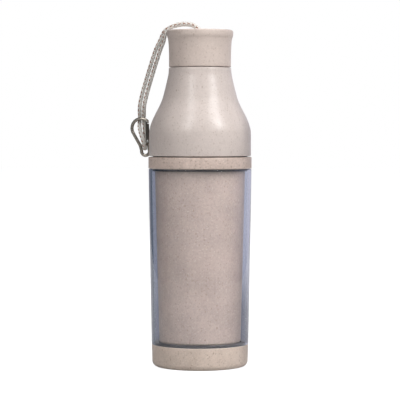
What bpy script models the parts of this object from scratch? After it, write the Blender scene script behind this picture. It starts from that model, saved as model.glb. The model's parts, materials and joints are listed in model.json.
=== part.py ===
"""Double wall bottle with a screw-on shoulder, a screw cap and a cord strap with a gourd carabiner.

Units are metres and +Z is up. The bottle's axis is the Z axis and its foot stands on z = 0. Every turned
piece is an outline in radius and height, turned round that axis. The strap is laid out in a frame of its
own that turns with STRAP_TURN: there -X points away from the bottle, and +Y away from the viewer.
"""

import math

import bmesh
import bpy
from mathutils import Matrix, Vector

# Facets and gaps
TURN_STEPS = 44
SEAL_STEPS = 32
SMALL_STEPS = 16
FACET_LENGTH = 0.0015
CURVE_STEPS = 12
FILLET_SHARE = 0.45
SHARP_ANGLE = math.radians(32)
MERGE = 0.00001
CLEARANCE = 0.0003
FINE_CLEARANCE = 0.0002
OVERRUN = 0.002
EDGE_FILLET = 0.0005

# Collar ring: its radius sets those of the sleeve, the inner cup, the base and the shoulder
COLLAR_RADIUS = 0.0350
COLLAR_HEIGHT = 0.0078

# Clear sleeve, and the tongues that locate it in the base and in the collar
SLEEVE_HEIGHT = 0.1188
SLEEVE_STEP = 0.0001
SLEEVE_TAPER = 0.0019
SLEEVE_WALL = 0.0020
SLEEVE_TOP_RADIUS = COLLAR_RADIUS - SLEEVE_STEP
SLEEVE_BOTTOM_RADIUS = SLEEVE_TOP_RADIUS - SLEEVE_TAPER
TONGUE_THICKNESS = 0.0009
TONGUE_LENGTH = 0.0015

# Inner cup, an air gap inside the sleeve
AIR_GAP_TOP = 0.0023
AIR_GAP_BOTTOM = 0.0034
CUP_TOP_RADIUS = SLEEVE_TOP_RADIUS - SLEEVE_WALL - AIR_GAP_TOP
CUP_BOTTOM_RADIUS = SLEEVE_BOTTOM_RADIUS - SLEEVE_WALL - AIR_GAP_BOTTOM
CUP_WALL = 0.0018
CUP_FLOOR = 0.0020
CUP_FILLET = 0.0018
CUP_SEAT_GAP = 0.0010
CUP_FLANGE_WIDTH = 0.0020
CUP_FLANGE_THICKNESS = 0.0013

# Base cup
BASE_STEP = 0.0002
BASE_RADIUS = SLEEVE_BOTTOM_RADIUS - BASE_STEP
BASE_TAPER = 0.0004
BASE_HEIGHT = 0.0150
BASE_FILLET = 0.0050
BASE_WALL = 0.0022
BASE_FLOOR = 0.0020
FOOT_RECESS = 0.0010
FOOT_RING_WIDTH = 0.0035
SUPPORT_RING_INSET = 0.0036
SUPPORT_RING_RADIUS = CUP_BOTTOM_RADIUS - SUPPORT_RING_INSET
SUPPORT_RING_WALL = 0.0020
RIB_COUNT = 8
RIB_THICKNESS = 0.0015
RIB_HEIGHT = 0.0060
LEDGE_DEPTH = 0.0027

# Sealing rings
SEAL_HEIGHT = 0.0013
BASE_SEAL_HEIGHT = 0.0017
SEAL_CHAMFER = 0.0003

# Shoulder
SHOULDER_STEP = 0.0004
SHOULDER_RADIUS = COLLAR_RADIUS - SHOULDER_STEP
SHOULDER_STRAIGHT = 0.0135
SHOULDER_BELL_HEIGHT = 0.0462
SHOULDER_WALL = 0.0022
SHOULDER_SEAM = 0.0007
PLUG_LENGTH = 0.0115
PLUG_WALL = 0.0020
# The bell's outline: share of its height from the top, and share of its growth in radius
BELL_SHARES = (
    (0.00, 0.000), (0.10, 0.027), (0.22, 0.116), (0.34, 0.216), (0.46, 0.330), (0.56, 0.474),
    (0.65, 0.632), (0.74, 0.786), (0.83, 0.908), (0.92, 0.983), (1.00, 1.000),
)

# Screw cap: its waist sets the radii of its liner and of the neck inside it
CAP_SEAM = 0.0004
CAP_WAIST_RADIUS = 0.0210
CAP_FLARE = 0.0015
CAP_RIM_RADIUS = CAP_WAIST_RADIUS + CAP_FLARE
CAP_HEIGHT = 0.0250
CAP_LIP_FILLET = 0.0030
CAP_LIP_WIDTH = 0.0047
CAP_WALL = 0.0015
CAP_DISH_RADIUS = CAP_RIM_RADIUS - CAP_LIP_WIDTH
CAP_DISH_DEPTH = 0.0050
CAP_DISH_FLOOR = 0.0018
CAP_DISH_FILLET = 0.0025
# The cap's side: share of its height above the seam, and share of its growth from waist to rim
CAP_FLARE_SHARES = ((0.00, 0.00), (0.32, 0.00), (0.50, 0.09), (0.64, 0.22), (0.76, 0.46), (0.88, 1.00))
LINER_WALL = 0.0012
LINER_TOP = 0.0015
LINER_OUTER = CAP_WAIST_RADIUS - CAP_WALL - CLEARANCE
LINER_INNER = LINER_OUTER - LINER_WALL
THREAD_ROOM = 0.0011

# Neck of the bottle
NECK_STEP = 0.0001
SHOULDER_NECK_RADIUS = CAP_WAIST_RADIUS + NECK_STEP
NECK_RADIUS = LINER_INNER - THREAD_ROOM
NECK_WALL = 0.0019
NECK_BORE = NECK_RADIUS - NECK_WALL
NECK_HEIGHT = 0.0090

# Strap: the doubled cord, its slot in the dish and its knot below
STRAP_TURN = math.radians(-16)
CORD_DIAMETER = 0.0028
CORD_STEP = 0.0031
CORD_PAIR_GAP = 0.0004
SLOT_ROOM = 0.0004
SLOT_STRAND_SPACING = 0.0034
STRAP_EXIT_OFFSET = 0.0004
KNOT_LENGTH = 0.0130
KNOT_WIDTH = 0.0100
KNOT_ROWS = 9

# Middle line of the doubled cord. In the cap's slot: height above the dish floor's underside.
SLOT_HEIGHTS = (0.0000, 0.0033)
# Over the cap: share of the rim's radius, height above the cap's top, and how far the two strands have
# turned, in degrees, from one behind the other to side by side
ARCH_ROUTE = ((0.036, 0.0004, 0), (0.240, 0.0036, 8), (0.524, 0.0043, 14), (0.809, 0.0032, 14))
# Round the lip: distance beyond the rim, height above the cap's top, and the strands' turn
LIP_ROUTE = (
    (0.0002, 0.0013, 14), (0.0020, -0.0003, 28), (0.0032, -0.0029, 44), (0.0044, -0.0067, 64),
)
# Down to the carabiner: share of the way, how far the cord bows out, and the strands' turn
HANG_ROUTE = (
    (0.137, 0.0007, 82), (0.276, 0.0010, 90), (0.462, 0.0010, 90), (0.649, 0.0009, 90),
    (0.834, 0.0007, 90), (1.000, 0.0000, 90),
)
# Where it ends: distance out and height from the middle of the carabiner's eye
HANG_END = (0.0024, 0.0316)
# The two strands in the carabiner: across it, up along it from its eye, and depth behind it. The outer
# strand passes behind the top of the frame, comes forward through the loop and goes down before the
# crossbar. The bight hangs under the crossbar in the eye, and the other strand goes back up behind.
BIGHT_ROUTE = (
    (0.0002, 0.0268, 0.0024), (-0.0003, 0.0247, 0.0030), (-0.0008, 0.0225, 0.0031),
    (-0.0012, 0.0200, 0.0024), (-0.0012, 0.0175, 0.0009), (-0.0007, 0.0150, -0.0010),
    (0.0000, 0.0127, -0.0029), (0.0007, 0.0103, -0.0043), (0.0012, 0.0078, -0.0049),
    (0.0012, 0.0055, -0.0045), (0.0009, 0.0036, -0.0034), (0.0005, 0.0024, -0.0018),
    (0.0000, 0.0020, 0.0000), (-0.0004, 0.0024, 0.0018), (-0.0007, 0.0037, 0.0034),
    (-0.0007, 0.0055, 0.0045), (-0.0004, 0.0078, 0.0049), (0.0003, 0.0108, 0.0047),
    (0.0009, 0.0142, 0.0042), (0.0014, 0.0175, 0.0036), (0.0019, 0.0210, 0.0033),
    (0.0027, 0.0245, 0.0029),
)

# Carabiner: a wire bent like a gourd, in a plane that leans with CARABINER_LEAN
CARABINER_LEAN = math.radians(-11)
CARABINER_ABOVE_COLLAR = 0.0036
WIRE_DIAMETER = 0.0022
HEAD_BEND = 0.0066
EYE_BEND = 0.0028
BEND_SPACING = 0.0161
WAIST_HALF_WIDTH = 0.0030
HEAD_STEPS = 11
EYE_START = math.radians(160)
EYE_END = math.radians(372)
EYE_STEPS = 9
SPINE_SHARE = 0.55
SPINE_STEPS = 3
CROSSBAR_HEIGHT = 0.0046
CROSSBAR_DIAMETER = 0.0016
HINGE_HEIGHT = 0.0064
GATE_DIAMETER = 0.0024
NOSE_ANGLE = math.radians(38)
LAP_LENGTH = 0.0015
TONGUE_PLATE = 0.0007
PIN_DIAMETER = 0.0009
PIN_HEAD_DIAMETER = 0.0018
PIN_HEAD_HEIGHT = 0.0003
SPRING_WIRE = 0.00022
SPRING_PITCH = 0.00075
SPRING_TURNS = 6
SPRING_POINTS = 8
CORD_SIDES = 2
WIRE_SIDES = 3
SPRING_SIDES = 1

# Heights and radii that follow from the sizes above
SLEEVE_BOTTOM = BASE_HEIGHT + CLEARANCE
SLEEVE_TOP = SLEEVE_BOTTOM + SLEEVE_HEIGHT
COLLAR_BOTTOM = SLEEVE_TOP + CLEARANCE
COLLAR_TOP = COLLAR_BOTTOM + COLLAR_HEIGHT
CUP_BOTTOM = BASE_HEIGHT + CUP_SEAT_GAP + CLEARANCE
CUP_TOP = COLLAR_TOP
SHOULDER_BOTTOM = COLLAR_TOP + SHOULDER_SEAM
BELL_BOTTOM = SHOULDER_BOTTOM + SHOULDER_STRAIGHT
BELL_TOP = BELL_BOTTOM + SHOULDER_BELL_HEIGHT
NECK_TOP = BELL_TOP + NECK_HEIGHT
CAP_BOTTOM = BELL_TOP + CAP_SEAM
CAP_TOP = CAP_BOTTOM + CAP_HEIGHT
DISH_FLOOR_TOP = CAP_TOP - CAP_DISH_DEPTH
DISH_FLOOR_BOTTOM = DISH_FLOOR_TOP - CAP_DISH_FLOOR
LINER_UNDERSIDE = NECK_TOP + SEAL_HEIGHT + 2 * CLEARANCE
LINER_HEIGHT_TOP = LINER_UNDERSIDE + LINER_TOP
CUP_RIM_INNER = CUP_TOP_RADIUS - CUP_WALL
PLUG_OUTER = CUP_RIM_INNER - CLEARANCE
PLUG_BOTTOM = SHOULDER_BOTTOM - PLUG_LENGTH
SEAL_SEAT_OUTER = CUP_TOP_RADIUS + CUP_FLANGE_WIDTH
WIRE_RADIUS = WIRE_DIAMETER / 2
CARABINER_OUT = SHOULDER_RADIUS + CLEARANCE + WIRE_RADIUS + EYE_BEND
CARABINER_HEIGHT = COLLAR_TOP + CARABINER_ABOVE_COLLAR


def clear_scene():
    for thing in list(bpy.data.objects):
        bpy.data.objects.remove(thing, do_unlink=True)


def collection(name):
    made = bpy.data.collections.new(name)
    bpy.context.scene.collection.children.link(made)
    return made


def material(name, colour, roughness, metallic=0.0, transmission=0.0):
    made = bpy.data.materials.new(name)
    made.use_nodes = True
    shader = made.node_tree.nodes["Principled BSDF"]
    shader.inputs["Base Color"].default_value = colour
    shader.inputs["Roughness"].default_value = roughness
    shader.inputs["Metallic"].default_value = metallic
    shader.inputs["Transmission Weight"].default_value = transmission
    return made


# Outlines


def rounded(corners, closed):
    """The corners (radius, height, fillet) as points, with each fillet drawn as an arc."""
    points = []
    for i, (radius, height, fillet) in enumerate(corners):
        corner = Vector((radius, height))
        is_end = not closed and i in (0, len(corners) - 1)
        if is_end or fillet == 0:
            points.append(corner)
            continue
        before = Vector(corners[i - 1][:2]) - corner
        after = Vector(corners[(i + 1) % len(corners)][:2]) - corner
        half = before.angle(after) / 2
        reach = min(fillet / math.tan(half), FILLET_SHARE * before.length, FILLET_SHARE * after.length)
        size = reach * math.tan(half)
        centre = corner + (before.normalized() + after.normalized()).normalized() * (size / math.sin(half))
        start = corner + before.normalized() * reach - centre
        sweep = (corner + after.normalized() * reach - centre).angle_signed(start)
        steps = max(1, round(size * abs(sweep) / FACET_LENGTH))
        for k in range(steps + 1):
            turn = Matrix.Rotation(sweep * k / steps, 2)
            points.append(centre + turn @ start)
    return points


def through_shares(shares, start, end, steps):
    """A smooth curve through pairs of shares, from start to end, both (radius, height)."""
    knots = [Vector(pair) for pair in shares]
    smooth = smooth_line([k.to_3d() for k in knots], steps)
    return [
        Vector((start[0] + (end[0] - start[0]) * p.y, start[1] + (end[1] - start[1]) * p.x)) for p in smooth
    ]


def smooth_line(knots, steps_between):
    """Points of a Catmull-Rom curve through the knots."""
    line = []
    padded = [2 * knots[0] - knots[1], *knots, 2 * knots[-1] - knots[-2]]
    for i in range(1, len(padded) - 2):
        a, b, c, d = padded[i - 1 : i + 3]
        for k in range(steps_between):
            t = k / steps_between
            line.append(
                0.5
                * (2 * b + (c - a) * t + (2 * a - 5 * b + 4 * c - d) * t**2 + (3 * b - a - 3 * c + d) * t**3)
            )
    return [*line, knots[-1].copy()]


def inset(points, distance):
    """The line of (radius, height) points that runs top to bottom, moved in by a wall's thickness."""
    moved = []
    for i, point in enumerate(points):
        along = points[min(i + 1, len(points) - 1)] - points[max(i - 1, 0)]
        moved.append(point + Vector((along.y, -along.x)).normalized() * distance)
    return moved


# Solids


def plain_mesh(source, home):
    """The object with its modifiers applied, as a shaded mesh in its collection."""
    depsgraph = bpy.context.evaluated_depsgraph_get()
    mesh = bpy.data.meshes.new_from_object(source.evaluated_get(depsgraph))
    work = bmesh.new()
    work.from_mesh(mesh)
    bmesh.ops.remove_doubles(work, verts=work.verts, dist=MERGE)
    work.to_mesh(mesh)
    work.free()
    name = source.name
    made = bpy.data.objects.new(name + "_plain", mesh)
    made.matrix_world = source.matrix_world
    home.objects.link(made)
    bpy.data.objects.remove(source, do_unlink=True)
    made.name = name
    mesh.name = name
    mesh.shade_smooth()
    mesh.set_sharp_from_angle(angle=SHARP_ANGLE)
    return made


def turned(name, outline, finish, home, steps=TURN_STEPS):
    """The outline turned round Z. It runs down the outer side, and is closed unless it ends on the axis."""
    mesh = bpy.data.meshes.new(name)
    count = len(outline)
    edges = [(i, i + 1) for i in range(count - 1)]
    if outline[0].x > MERGE:
        edges.append((count - 1, 0))
    mesh.from_pydata([(p.x, 0, p.y) for p in outline], edges, [])
    made = bpy.data.objects.new(name, mesh)
    home.objects.link(made)
    screw = made.modifiers.new("turn", "SCREW")
    screw.axis = "Z"
    screw.angle = 2 * math.pi
    screw.steps = steps
    screw.render_steps = steps
    screw.use_merge_vertices = True
    screw.merge_threshold = MERGE
    if finish:
        mesh.materials.append(finish)
    return made


def wire(name, points, diameter, finish, home, sides):
    """A round wire or cord along the points, with filled ends."""
    curve = bpy.data.curves.new(name, "CURVE")
    curve.dimensions = "3D"
    spline = curve.splines.new("POLY")
    spline.points.add(len(points) - 1)
    for place, point in zip(spline.points, points):
        place.co = (*point, 1)
    curve.bevel_depth = diameter / 2
    curve.bevel_resolution = sides
    curve.use_fill_caps = True
    if finish:
        curve.materials.append(finish)
    made = bpy.data.objects.new(name, curve)
    home.objects.link(made)
    return made


def rod(name, start, end, diameter, home, finish=None, steps=SMALL_STEPS):
    """A cylinder from start to end."""
    mesh = bpy.data.meshes.new(name)
    work = bmesh.new()
    along = Vector(end) - Vector(start)
    turn = along.to_track_quat("Z", "Y").to_matrix().to_4x4()
    middle = Matrix.Translation((Vector(start) + Vector(end)) / 2)
    bmesh.ops.create_cone(
        work, cap_ends=True, segments=steps, radius1=diameter / 2, radius2=diameter / 2,
        depth=along.length, matrix=middle @ turn,
    )
    work.to_mesh(mesh)
    work.free()
    made = bpy.data.objects.new(name, mesh)
    if finish:
        mesh.materials.append(finish)
    home.objects.link(made)
    return made


def block(name, size, place, home):
    """A box of the size given, under the matrix given."""
    mesh = bpy.data.meshes.new(name)
    work = bmesh.new()
    bmesh.ops.create_cube(work, size=1, matrix=place @ Matrix.Diagonal((*size, 1)))
    work.to_mesh(mesh)
    work.free()
    made = bpy.data.objects.new(name, mesh)
    home.objects.link(made)
    return made


def combine(target, tool, operation):
    """A Boolean of the tool on the target, with the tool kept hidden in its own collection."""
    tool.hide_render = True
    tool.display_type = "WIRE"
    change = target.modifiers.new(tool.name, "BOOLEAN")
    change.operation = operation
    change.solver = "EXACT"
    change.object = tool


# Bottle body


def build_base(finish, parts, cutters):
    """The base: foot ring, corbelled wall with the sleeve's groove, ring under the inner cup, and ribs."""
    top_outer = (BASE_RADIUS, BASE_HEIGHT, EDGE_FILLET)
    foot_outer = (BASE_RADIUS - BASE_TAPER, 0, BASE_FILLET)
    foot_inner = BASE_RADIUS - BASE_FILLET - FOOT_RING_WIDTH
    floor_top = FOOT_RECESS + BASE_FLOOR
    wall_inner = BASE_RADIUS - BASE_WALL
    ledge_inner = CUP_BOTTOM_RADIUS + CLEARANCE
    ledge_bottom = BASE_HEIGHT - LEDGE_DEPTH
    groove_inner, groove_outer = base_groove()
    groove_floor = BASE_HEIGHT - TONGUE_LENGTH
    ring_top = CUP_BOTTOM - CLEARANCE
    ring_inner = SUPPORT_RING_RADIUS - SUPPORT_RING_WALL
    outline = rounded(
        [
            (0, floor_top, 0), (ring_inner, floor_top, 0), (ring_inner, ring_top, 0),
            (SUPPORT_RING_RADIUS, ring_top, 0), (SUPPORT_RING_RADIUS, floor_top, 0),
            (wall_inner - BASE_FLOOR, floor_top, 0), (wall_inner, floor_top + BASE_FLOOR, 0),
            (wall_inner, ledge_bottom - (wall_inner - ledge_inner), 0), (ledge_inner, ledge_bottom, 0),
            (ledge_inner, BASE_HEIGHT, 0), (groove_inner, BASE_HEIGHT, 0), (groove_inner, groove_floor, 0),
            (groove_outer, groove_floor, 0), (groove_outer, BASE_HEIGHT, 0), top_outer, foot_outer,
            (foot_inner, 0, 0), (foot_inner - FOOT_RECESS, FOOT_RECESS, 0), (0, FOOT_RECESS, 0),
        ],
        closed=False,
    )
    base = turned("base_cup", outline, finish, parts)
    inside = SUPPORT_RING_RADIUS - SUPPORT_RING_WALL / 2
    outside = wall_inner + BASE_WALL / 2
    rib_size = (outside - inside, RIB_THICKNESS, RIB_HEIGHT + BASE_FLOOR / 2)
    for i in range(RIB_COUNT):
        turn = Matrix.Rotation(2 * math.pi * (i + 0.5) / RIB_COUNT, 4, "Z")
        middle = ((inside + outside) / 2, 0, floor_top - BASE_FLOOR / 2 + rib_size[2] / 2)
        rib = block(f"rib_{i + 1}", rib_size, turn @ Matrix.Translation(middle), cutters)
        combine(base, rib, "UNION")
    return plain_mesh(base, parts)


def base_groove():
    """Inner and outer radius of the groove that takes the sleeve's lower tongue."""
    tongue_inner = SLEEVE_BOTTOM_RADIUS - SLEEVE_WALL
    return tongue_inner - CLEARANCE, tongue_inner + TONGUE_THICKNESS + CLEARANCE


def collar_groove():
    """Inner and outer radius of the groove that takes the sleeve's upper tongue."""
    tongue_inner = SLEEVE_TOP_RADIUS - SLEEVE_WALL
    return tongue_inner - CLEARANCE, tongue_inner + TONGUE_THICKNESS + CLEARANCE


def build_sleeve(finish, parts):
    """The clear wall, a slightly conical tube with a thin tongue at each end."""
    top_inner = SLEEVE_TOP_RADIUS - SLEEVE_WALL
    bottom_inner = SLEEVE_BOTTOM_RADIUS - SLEEVE_WALL
    top_tongue = top_inner + TONGUE_THICKNESS
    bottom_tongue = bottom_inner + TONGUE_THICKNESS
    highest = SLEEVE_TOP + TONGUE_LENGTH
    lowest = SLEEVE_BOTTOM - TONGUE_LENGTH
    outline = rounded(
        [
            (top_tongue, highest, 0), (top_tongue, SLEEVE_TOP, 0), (SLEEVE_TOP_RADIUS, SLEEVE_TOP, 0),
            (SLEEVE_BOTTOM_RADIUS, SLEEVE_BOTTOM, 0), (bottom_tongue, SLEEVE_BOTTOM, 0),
            (bottom_tongue, lowest, 0), (bottom_inner, lowest, 0), (bottom_inner, SLEEVE_BOTTOM, 0),
            (top_inner, SLEEVE_TOP, 0), (top_inner, highest, 0),
        ],
        closed=True,
    )
    return plain_mesh(turned("clear_sleeve", outline, finish, parts), parts)


def build_inner_cup(finish, parts):
    """The cup that holds the drink: conical, then straight in the collar, with a flange at its rim."""
    floor_top = CUP_BOTTOM + CUP_FLOOR
    outline = rounded(
        [
            (0, floor_top, 0), (CUP_BOTTOM_RADIUS - CUP_WALL, floor_top, CUP_FILLET),
            (CUP_RIM_INNER, COLLAR_BOTTOM, 0), (CUP_RIM_INNER, CUP_TOP, 0),
            (SEAL_SEAT_OUTER, CUP_TOP, 0), (SEAL_SEAT_OUTER, CUP_TOP - CUP_FLANGE_THICKNESS, 0),
            (CUP_TOP_RADIUS, CUP_TOP - CUP_FLANGE_THICKNESS, 0), (CUP_TOP_RADIUS, COLLAR_BOTTOM, 0),
            (CUP_BOTTOM_RADIUS, CUP_BOTTOM, CUP_FILLET), (0, CUP_BOTTOM, 0),
        ],
        closed=False,
    )
    return plain_mesh(turned("inner_cup", outline, finish, parts), parts)


def build_collar(finish, parts):
    """The ring that joins sleeve and cup: groove for the sleeve below, rebate for the cup's flange above."""
    groove_inner, groove_outer = collar_groove()
    groove_top = COLLAR_BOTTOM + TONGUE_LENGTH
    rebate = CUP_TOP - CUP_FLANGE_THICKNESS - CLEARANCE
    bore = CUP_TOP_RADIUS + CLEARANCE
    rebate_outer = SEAL_SEAT_OUTER + CLEARANCE
    outline = rounded(
        [
            (COLLAR_RADIUS, COLLAR_TOP, EDGE_FILLET), (COLLAR_RADIUS, COLLAR_BOTTOM, EDGE_FILLET),
            (groove_outer, COLLAR_BOTTOM, 0), (groove_outer, groove_top, 0), (groove_inner, groove_top, 0),
            (groove_inner, COLLAR_BOTTOM, 0), (bore, COLLAR_BOTTOM, 0), (bore, rebate, 0),
            (rebate_outer, rebate, 0), (rebate_outer, COLLAR_TOP, 0),
        ],
        closed=True,
    )
    return plain_mesh(turned("collar_ring", outline, finish, parts), parts)


def build_seal(name, inner, outer, bottom, height, finish, parts):
    """A flat sealing ring with small chamfers outside."""
    outline = rounded(
        [
            (outer, bottom + height, SEAL_CHAMFER), (outer, bottom, SEAL_CHAMFER),
            (inner, bottom, 0), (inner, bottom + height, 0),
        ],
        closed=True,
    )
    return plain_mesh(turned(name, outline, finish, parts, SEAL_STEPS), parts)


def build_seals(finish, parts):
    """The four sealing rings, each between the pieces that squeeze it."""
    base_inner = CUP_BOTTOM_RADIUS + CLEARANCE
    base_outer = SLEEVE_BOTTOM_RADIUS - SLEEVE_WALL - CLEARANCE
    upper_bottom = COLLAR_BOTTOM - CLEARANCE - SEAL_HEIGHT
    upper_outer = SLEEVE_TOP_RADIUS - SLEEVE_WALL - 2 * CLEARANCE
    cap_inner = NECK_BORE - CLEARANCE
    cap_outer = LINER_INNER - CLEARANCE
    return [
        build_seal("base_gasket", base_inner, base_outer, SLEEVE_BOTTOM, BASE_SEAL_HEIGHT, finish, parts),
        build_seal("sleeve_gasket", CUP_TOP_RADIUS + CLEARANCE, upper_outer, upper_bottom, SEAL_HEIGHT,
                   finish, parts),
        build_seal("shoulder_gasket", PLUG_OUTER + CLEARANCE, SEAL_SEAT_OUTER - CLEARANCE,
                   CUP_TOP + CLEARANCE, SEAL_HEIGHT, finish, parts),
        build_seal("cap_gasket", cap_inner, cap_outer, NECK_TOP + CLEARANCE, SEAL_HEIGHT, finish, parts),
    ]


# Shoulder


def build_shoulder(finish, parts):
    """The bell with its neck above and its plug skirt below, one moulding of even wall."""
    bell_start = (SHOULDER_NECK_RADIUS, BELL_TOP)
    bell_end = (SHOULDER_RADIUS, BELL_BOTTOM)
    bell = through_shares(BELL_SHARES, bell_start, bell_end, 1)
    inner_bell = inset(bell, SHOULDER_WALL)[::2]
    recess_top = CUP_TOP + SEAL_HEIGHT + 2 * CLEARANCE
    recess_outer = SEAL_SEAT_OUTER
    plug_inner = PLUG_OUTER - PLUG_WALL
    inner_radius = SHOULDER_RADIUS - SHOULDER_WALL
    funnel = inner_radius - plug_inner
    land_bottom = BELL_TOP - SHOULDER_WALL
    top = rounded(
        [
            (NECK_BORE, NECK_TOP, 0), (NECK_RADIUS, NECK_TOP, EDGE_FILLET), (NECK_RADIUS, BELL_TOP, 0),
            (SHOULDER_NECK_RADIUS, BELL_TOP, EDGE_FILLET), tuple(bell[1]) + (0,),
        ],
        closed=False,
    )
    bottom = rounded(
        [
            tuple(bell[-1]) + (0,), (SHOULDER_RADIUS, SHOULDER_BOTTOM, EDGE_FILLET),
            (recess_outer, SHOULDER_BOTTOM, 0), (recess_outer, recess_top, 0), (PLUG_OUTER, recess_top, 0),
            (PLUG_OUTER, PLUG_BOTTOM, SEAL_CHAMFER), (plug_inner, PLUG_BOTTOM, 0),
            (plug_inner, recess_top, 0), (inner_radius, recess_top + funnel, 0),
        ],
        closed=False,
    )
    inside = [p for p in reversed(inner_bell) if recess_top + funnel < p.y < land_bottom - EDGE_FILLET]
    land = [Vector((inside[-1].x, land_bottom)), Vector((NECK_BORE, land_bottom))]
    outline = top[:-1] + bell[1:-1] + bottom + inside + land
    return plain_mesh(turned("shoulder_shell", outline, finish, parts), parts)


# Screw cap


def build_cap_shell(finish, parts, cutters):
    """The cap: waisted side, thick rolled lip and dished top, with an oval slot for the doubled cord."""
    waist = (CAP_WAIST_RADIUS, CAP_BOTTOM)
    rim = (CAP_RIM_RADIUS, CAP_TOP)
    flare = through_shares(CAP_FLARE_SHARES, waist, rim, 1)
    inner = CAP_WAIST_RADIUS - CAP_WALL
    lip = rounded(
        [
            (0, DISH_FLOOR_TOP, 0), (CAP_DISH_RADIUS - CAP_DISH_FILLET, DISH_FLOOR_TOP, CAP_DISH_FILLET),
            (CAP_DISH_RADIUS, CAP_TOP, EDGE_FILLET), (CAP_RIM_RADIUS, CAP_TOP, CAP_LIP_FILLET),
            tuple(flare[-1]) + (0,),
        ],
        closed=False,
    )
    inside = rounded(
        [
            tuple(flare[1]) + (0,), (CAP_WAIST_RADIUS, CAP_BOTTOM, EDGE_FILLET), (inner, CAP_BOTTOM, 0),
            (inner, DISH_FLOOR_BOTTOM, EDGE_FILLET), (0, DISH_FLOOR_BOTTOM, 0),
        ],
        closed=False,
    )
    side = [p for p in reversed(flare[1:-1]) if p.y < lip[-2].y]
    outline = lip[:-1] + side + inside[1:]
    shell = turned("cap_shell", outline, finish, parts)
    slot_width = CORD_DIAMETER + 2 * SLOT_ROOM
    half_spacing = SLOT_STRAND_SPACING / 2
    low, high = DISH_FLOOR_BOTTOM - OVERRUN, DISH_FLOOR_TOP + OVERRUN
    turn = Matrix.Rotation(STRAP_TURN, 4, "Z")
    middle = turn @ Matrix.Translation((STRAP_EXIT_OFFSET, 0, (low + high) / 2))
    slot = block("slot_middle", (slot_width, SLOT_STRAND_SPACING, high - low), middle, cutters)
    combine(shell, slot, "DIFFERENCE")
    for side_name, side_sign in (("front", -1), ("back", 1)):
        place = turn @ Vector((STRAP_EXIT_OFFSET, side_sign * half_spacing, 0))
        end = rod("slot_" + side_name, place + Vector((0, 0, low)), place + Vector((0, 0, high)),
                  slot_width, cutters)
        combine(shell, end, "DIFFERENCE")
    return plain_mesh(shell, parts)


def build_cap_liner(finish, parts):
    """The threaded insert inside the cap, closed at its top."""
    outline = rounded(
        [
            (0, LINER_HEIGHT_TOP, 0), (LINER_OUTER, LINER_HEIGHT_TOP, EDGE_FILLET),
            (LINER_OUTER, CAP_BOTTOM + CLEARANCE, 0), (LINER_INNER, CAP_BOTTOM + CLEARANCE, 0),
            (LINER_INNER, LINER_UNDERSIDE, 0), (0, LINER_UNDERSIDE, 0),
        ],
        closed=False,
    )
    return plain_mesh(turned("cap_liner", outline, finish, parts), parts)


# Strap


def strap_point(across, up, depth):
    """A point of the carabiner's own plane, in the strap's frame."""
    lean = Matrix.Rotation(CARABINER_LEAN, 3, "Y")
    return lean @ Vector((across, depth, up)) + Vector((-CARABINER_OUT, 0, CARABINER_HEIGHT))


def pair_route():
    """The doubled cord's middle line, from the knot to the carabiner: (distance out, height, turn)."""
    route = [(-STRAP_EXIT_OFFSET, DISH_FLOOR_BOTTOM + up, 0) for up in SLOT_HEIGHTS]
    route += [(CAP_RIM_RADIUS * share, CAP_TOP + up, turn) for share, up, turn in ARCH_ROUTE]
    route += [(CAP_RIM_RADIUS + beyond, CAP_TOP + up, turn) for beyond, up, turn in LIP_ROUTE]
    start = Vector(route[-1][:2])
    end = Vector((CARABINER_OUT + HANG_END[0], CARABINER_HEIGHT + HANG_END[1]))
    for share, bow, turn in HANG_ROUTE:
        place = start.lerp(end, share)
        route.append((place.x + bow, place.y, turn))
    return route


def strand(side):
    """One strand of the pair, from the knot down: side -1 is in front on the cap and inside below it."""
    pair = pair_route()
    route = [Vector((-out, 0, height)) for out, height, _ in pair]
    points = []
    for i, centre in enumerate(route):
        along = (route[min(i + 1, len(route) - 1)] - route[max(i - 1, 0)]).normalized()
        beside = Vector((0, 1, 0)).cross(along)
        turned_by = math.radians(pair[i][2])
        in_slot = i < len(SLOT_HEIGHTS)
        spacing = SLOT_STRAND_SPACING if in_slot else CORD_DIAMETER + CORD_PAIR_GAP
        offset = Vector((0, 1, 0)) * math.cos(turned_by) + beside * math.sin(turned_by)
        points.append(centre + offset * side * spacing / 2)
    return points


def cord_line():
    """The whole cord: down one strand, round the crossbar, and up the other."""
    bight = [strap_point(*place) for place in BIGHT_ROUTE]
    knots = strand(1) + bight + strand(-1)[::-1]
    fine = smooth_line(knots, CURVE_STEPS)
    line = [fine[0]]
    run = 0
    for a, b in zip(fine, fine[1:]):
        run += (b - a).length
        if run >= CORD_STEP:
            line.append(b)
            run = 0
    if (fine[-1] - line[-1]).length < CORD_STEP / 2:
        line.pop()
    line.append(fine[-1])
    print(f"cord: {len(line)} points, {sum((b - a).length for a, b in zip(line, line[1:])):.4f} m")
    return line


def build_cord(finish, parts, frame):
    cord = wire("strap_cord", cord_line(), CORD_DIAMETER, finish, parts, CORD_SIDES)
    cord.parent = frame
    return cord


def build_knot(finish, parts, frame):
    """The stopper knot of both cord ends, flattened between the dish and the liner."""
    low = LINER_HEIGHT_TOP + CLEARANCE
    high = DISH_FLOOR_BOTTOM - CLEARANCE
    mesh = bpy.data.meshes.new("strap_knot")
    work = bmesh.new()
    size = Matrix.Diagonal((KNOT_WIDTH / 2, KNOT_LENGTH / 2, (high - low) / 2, 1))
    middle = Matrix.Translation((STRAP_EXIT_OFFSET, 0, (low + high) / 2))
    bmesh.ops.create_uvsphere(
        work, u_segments=SMALL_STEPS, v_segments=KNOT_ROWS, radius=1, matrix=middle @ size
    )
    work.to_mesh(mesh)
    work.free()
    mesh.materials.append(finish)
    mesh.shade_smooth()
    knot = bpy.data.objects.new("strap_knot", mesh)
    parts.objects.link(knot)
    knot.parent = frame
    return knot


# Carabiner, in its own plane: X across it, Z up along it, Y behind it, from the middle of its eye


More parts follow.
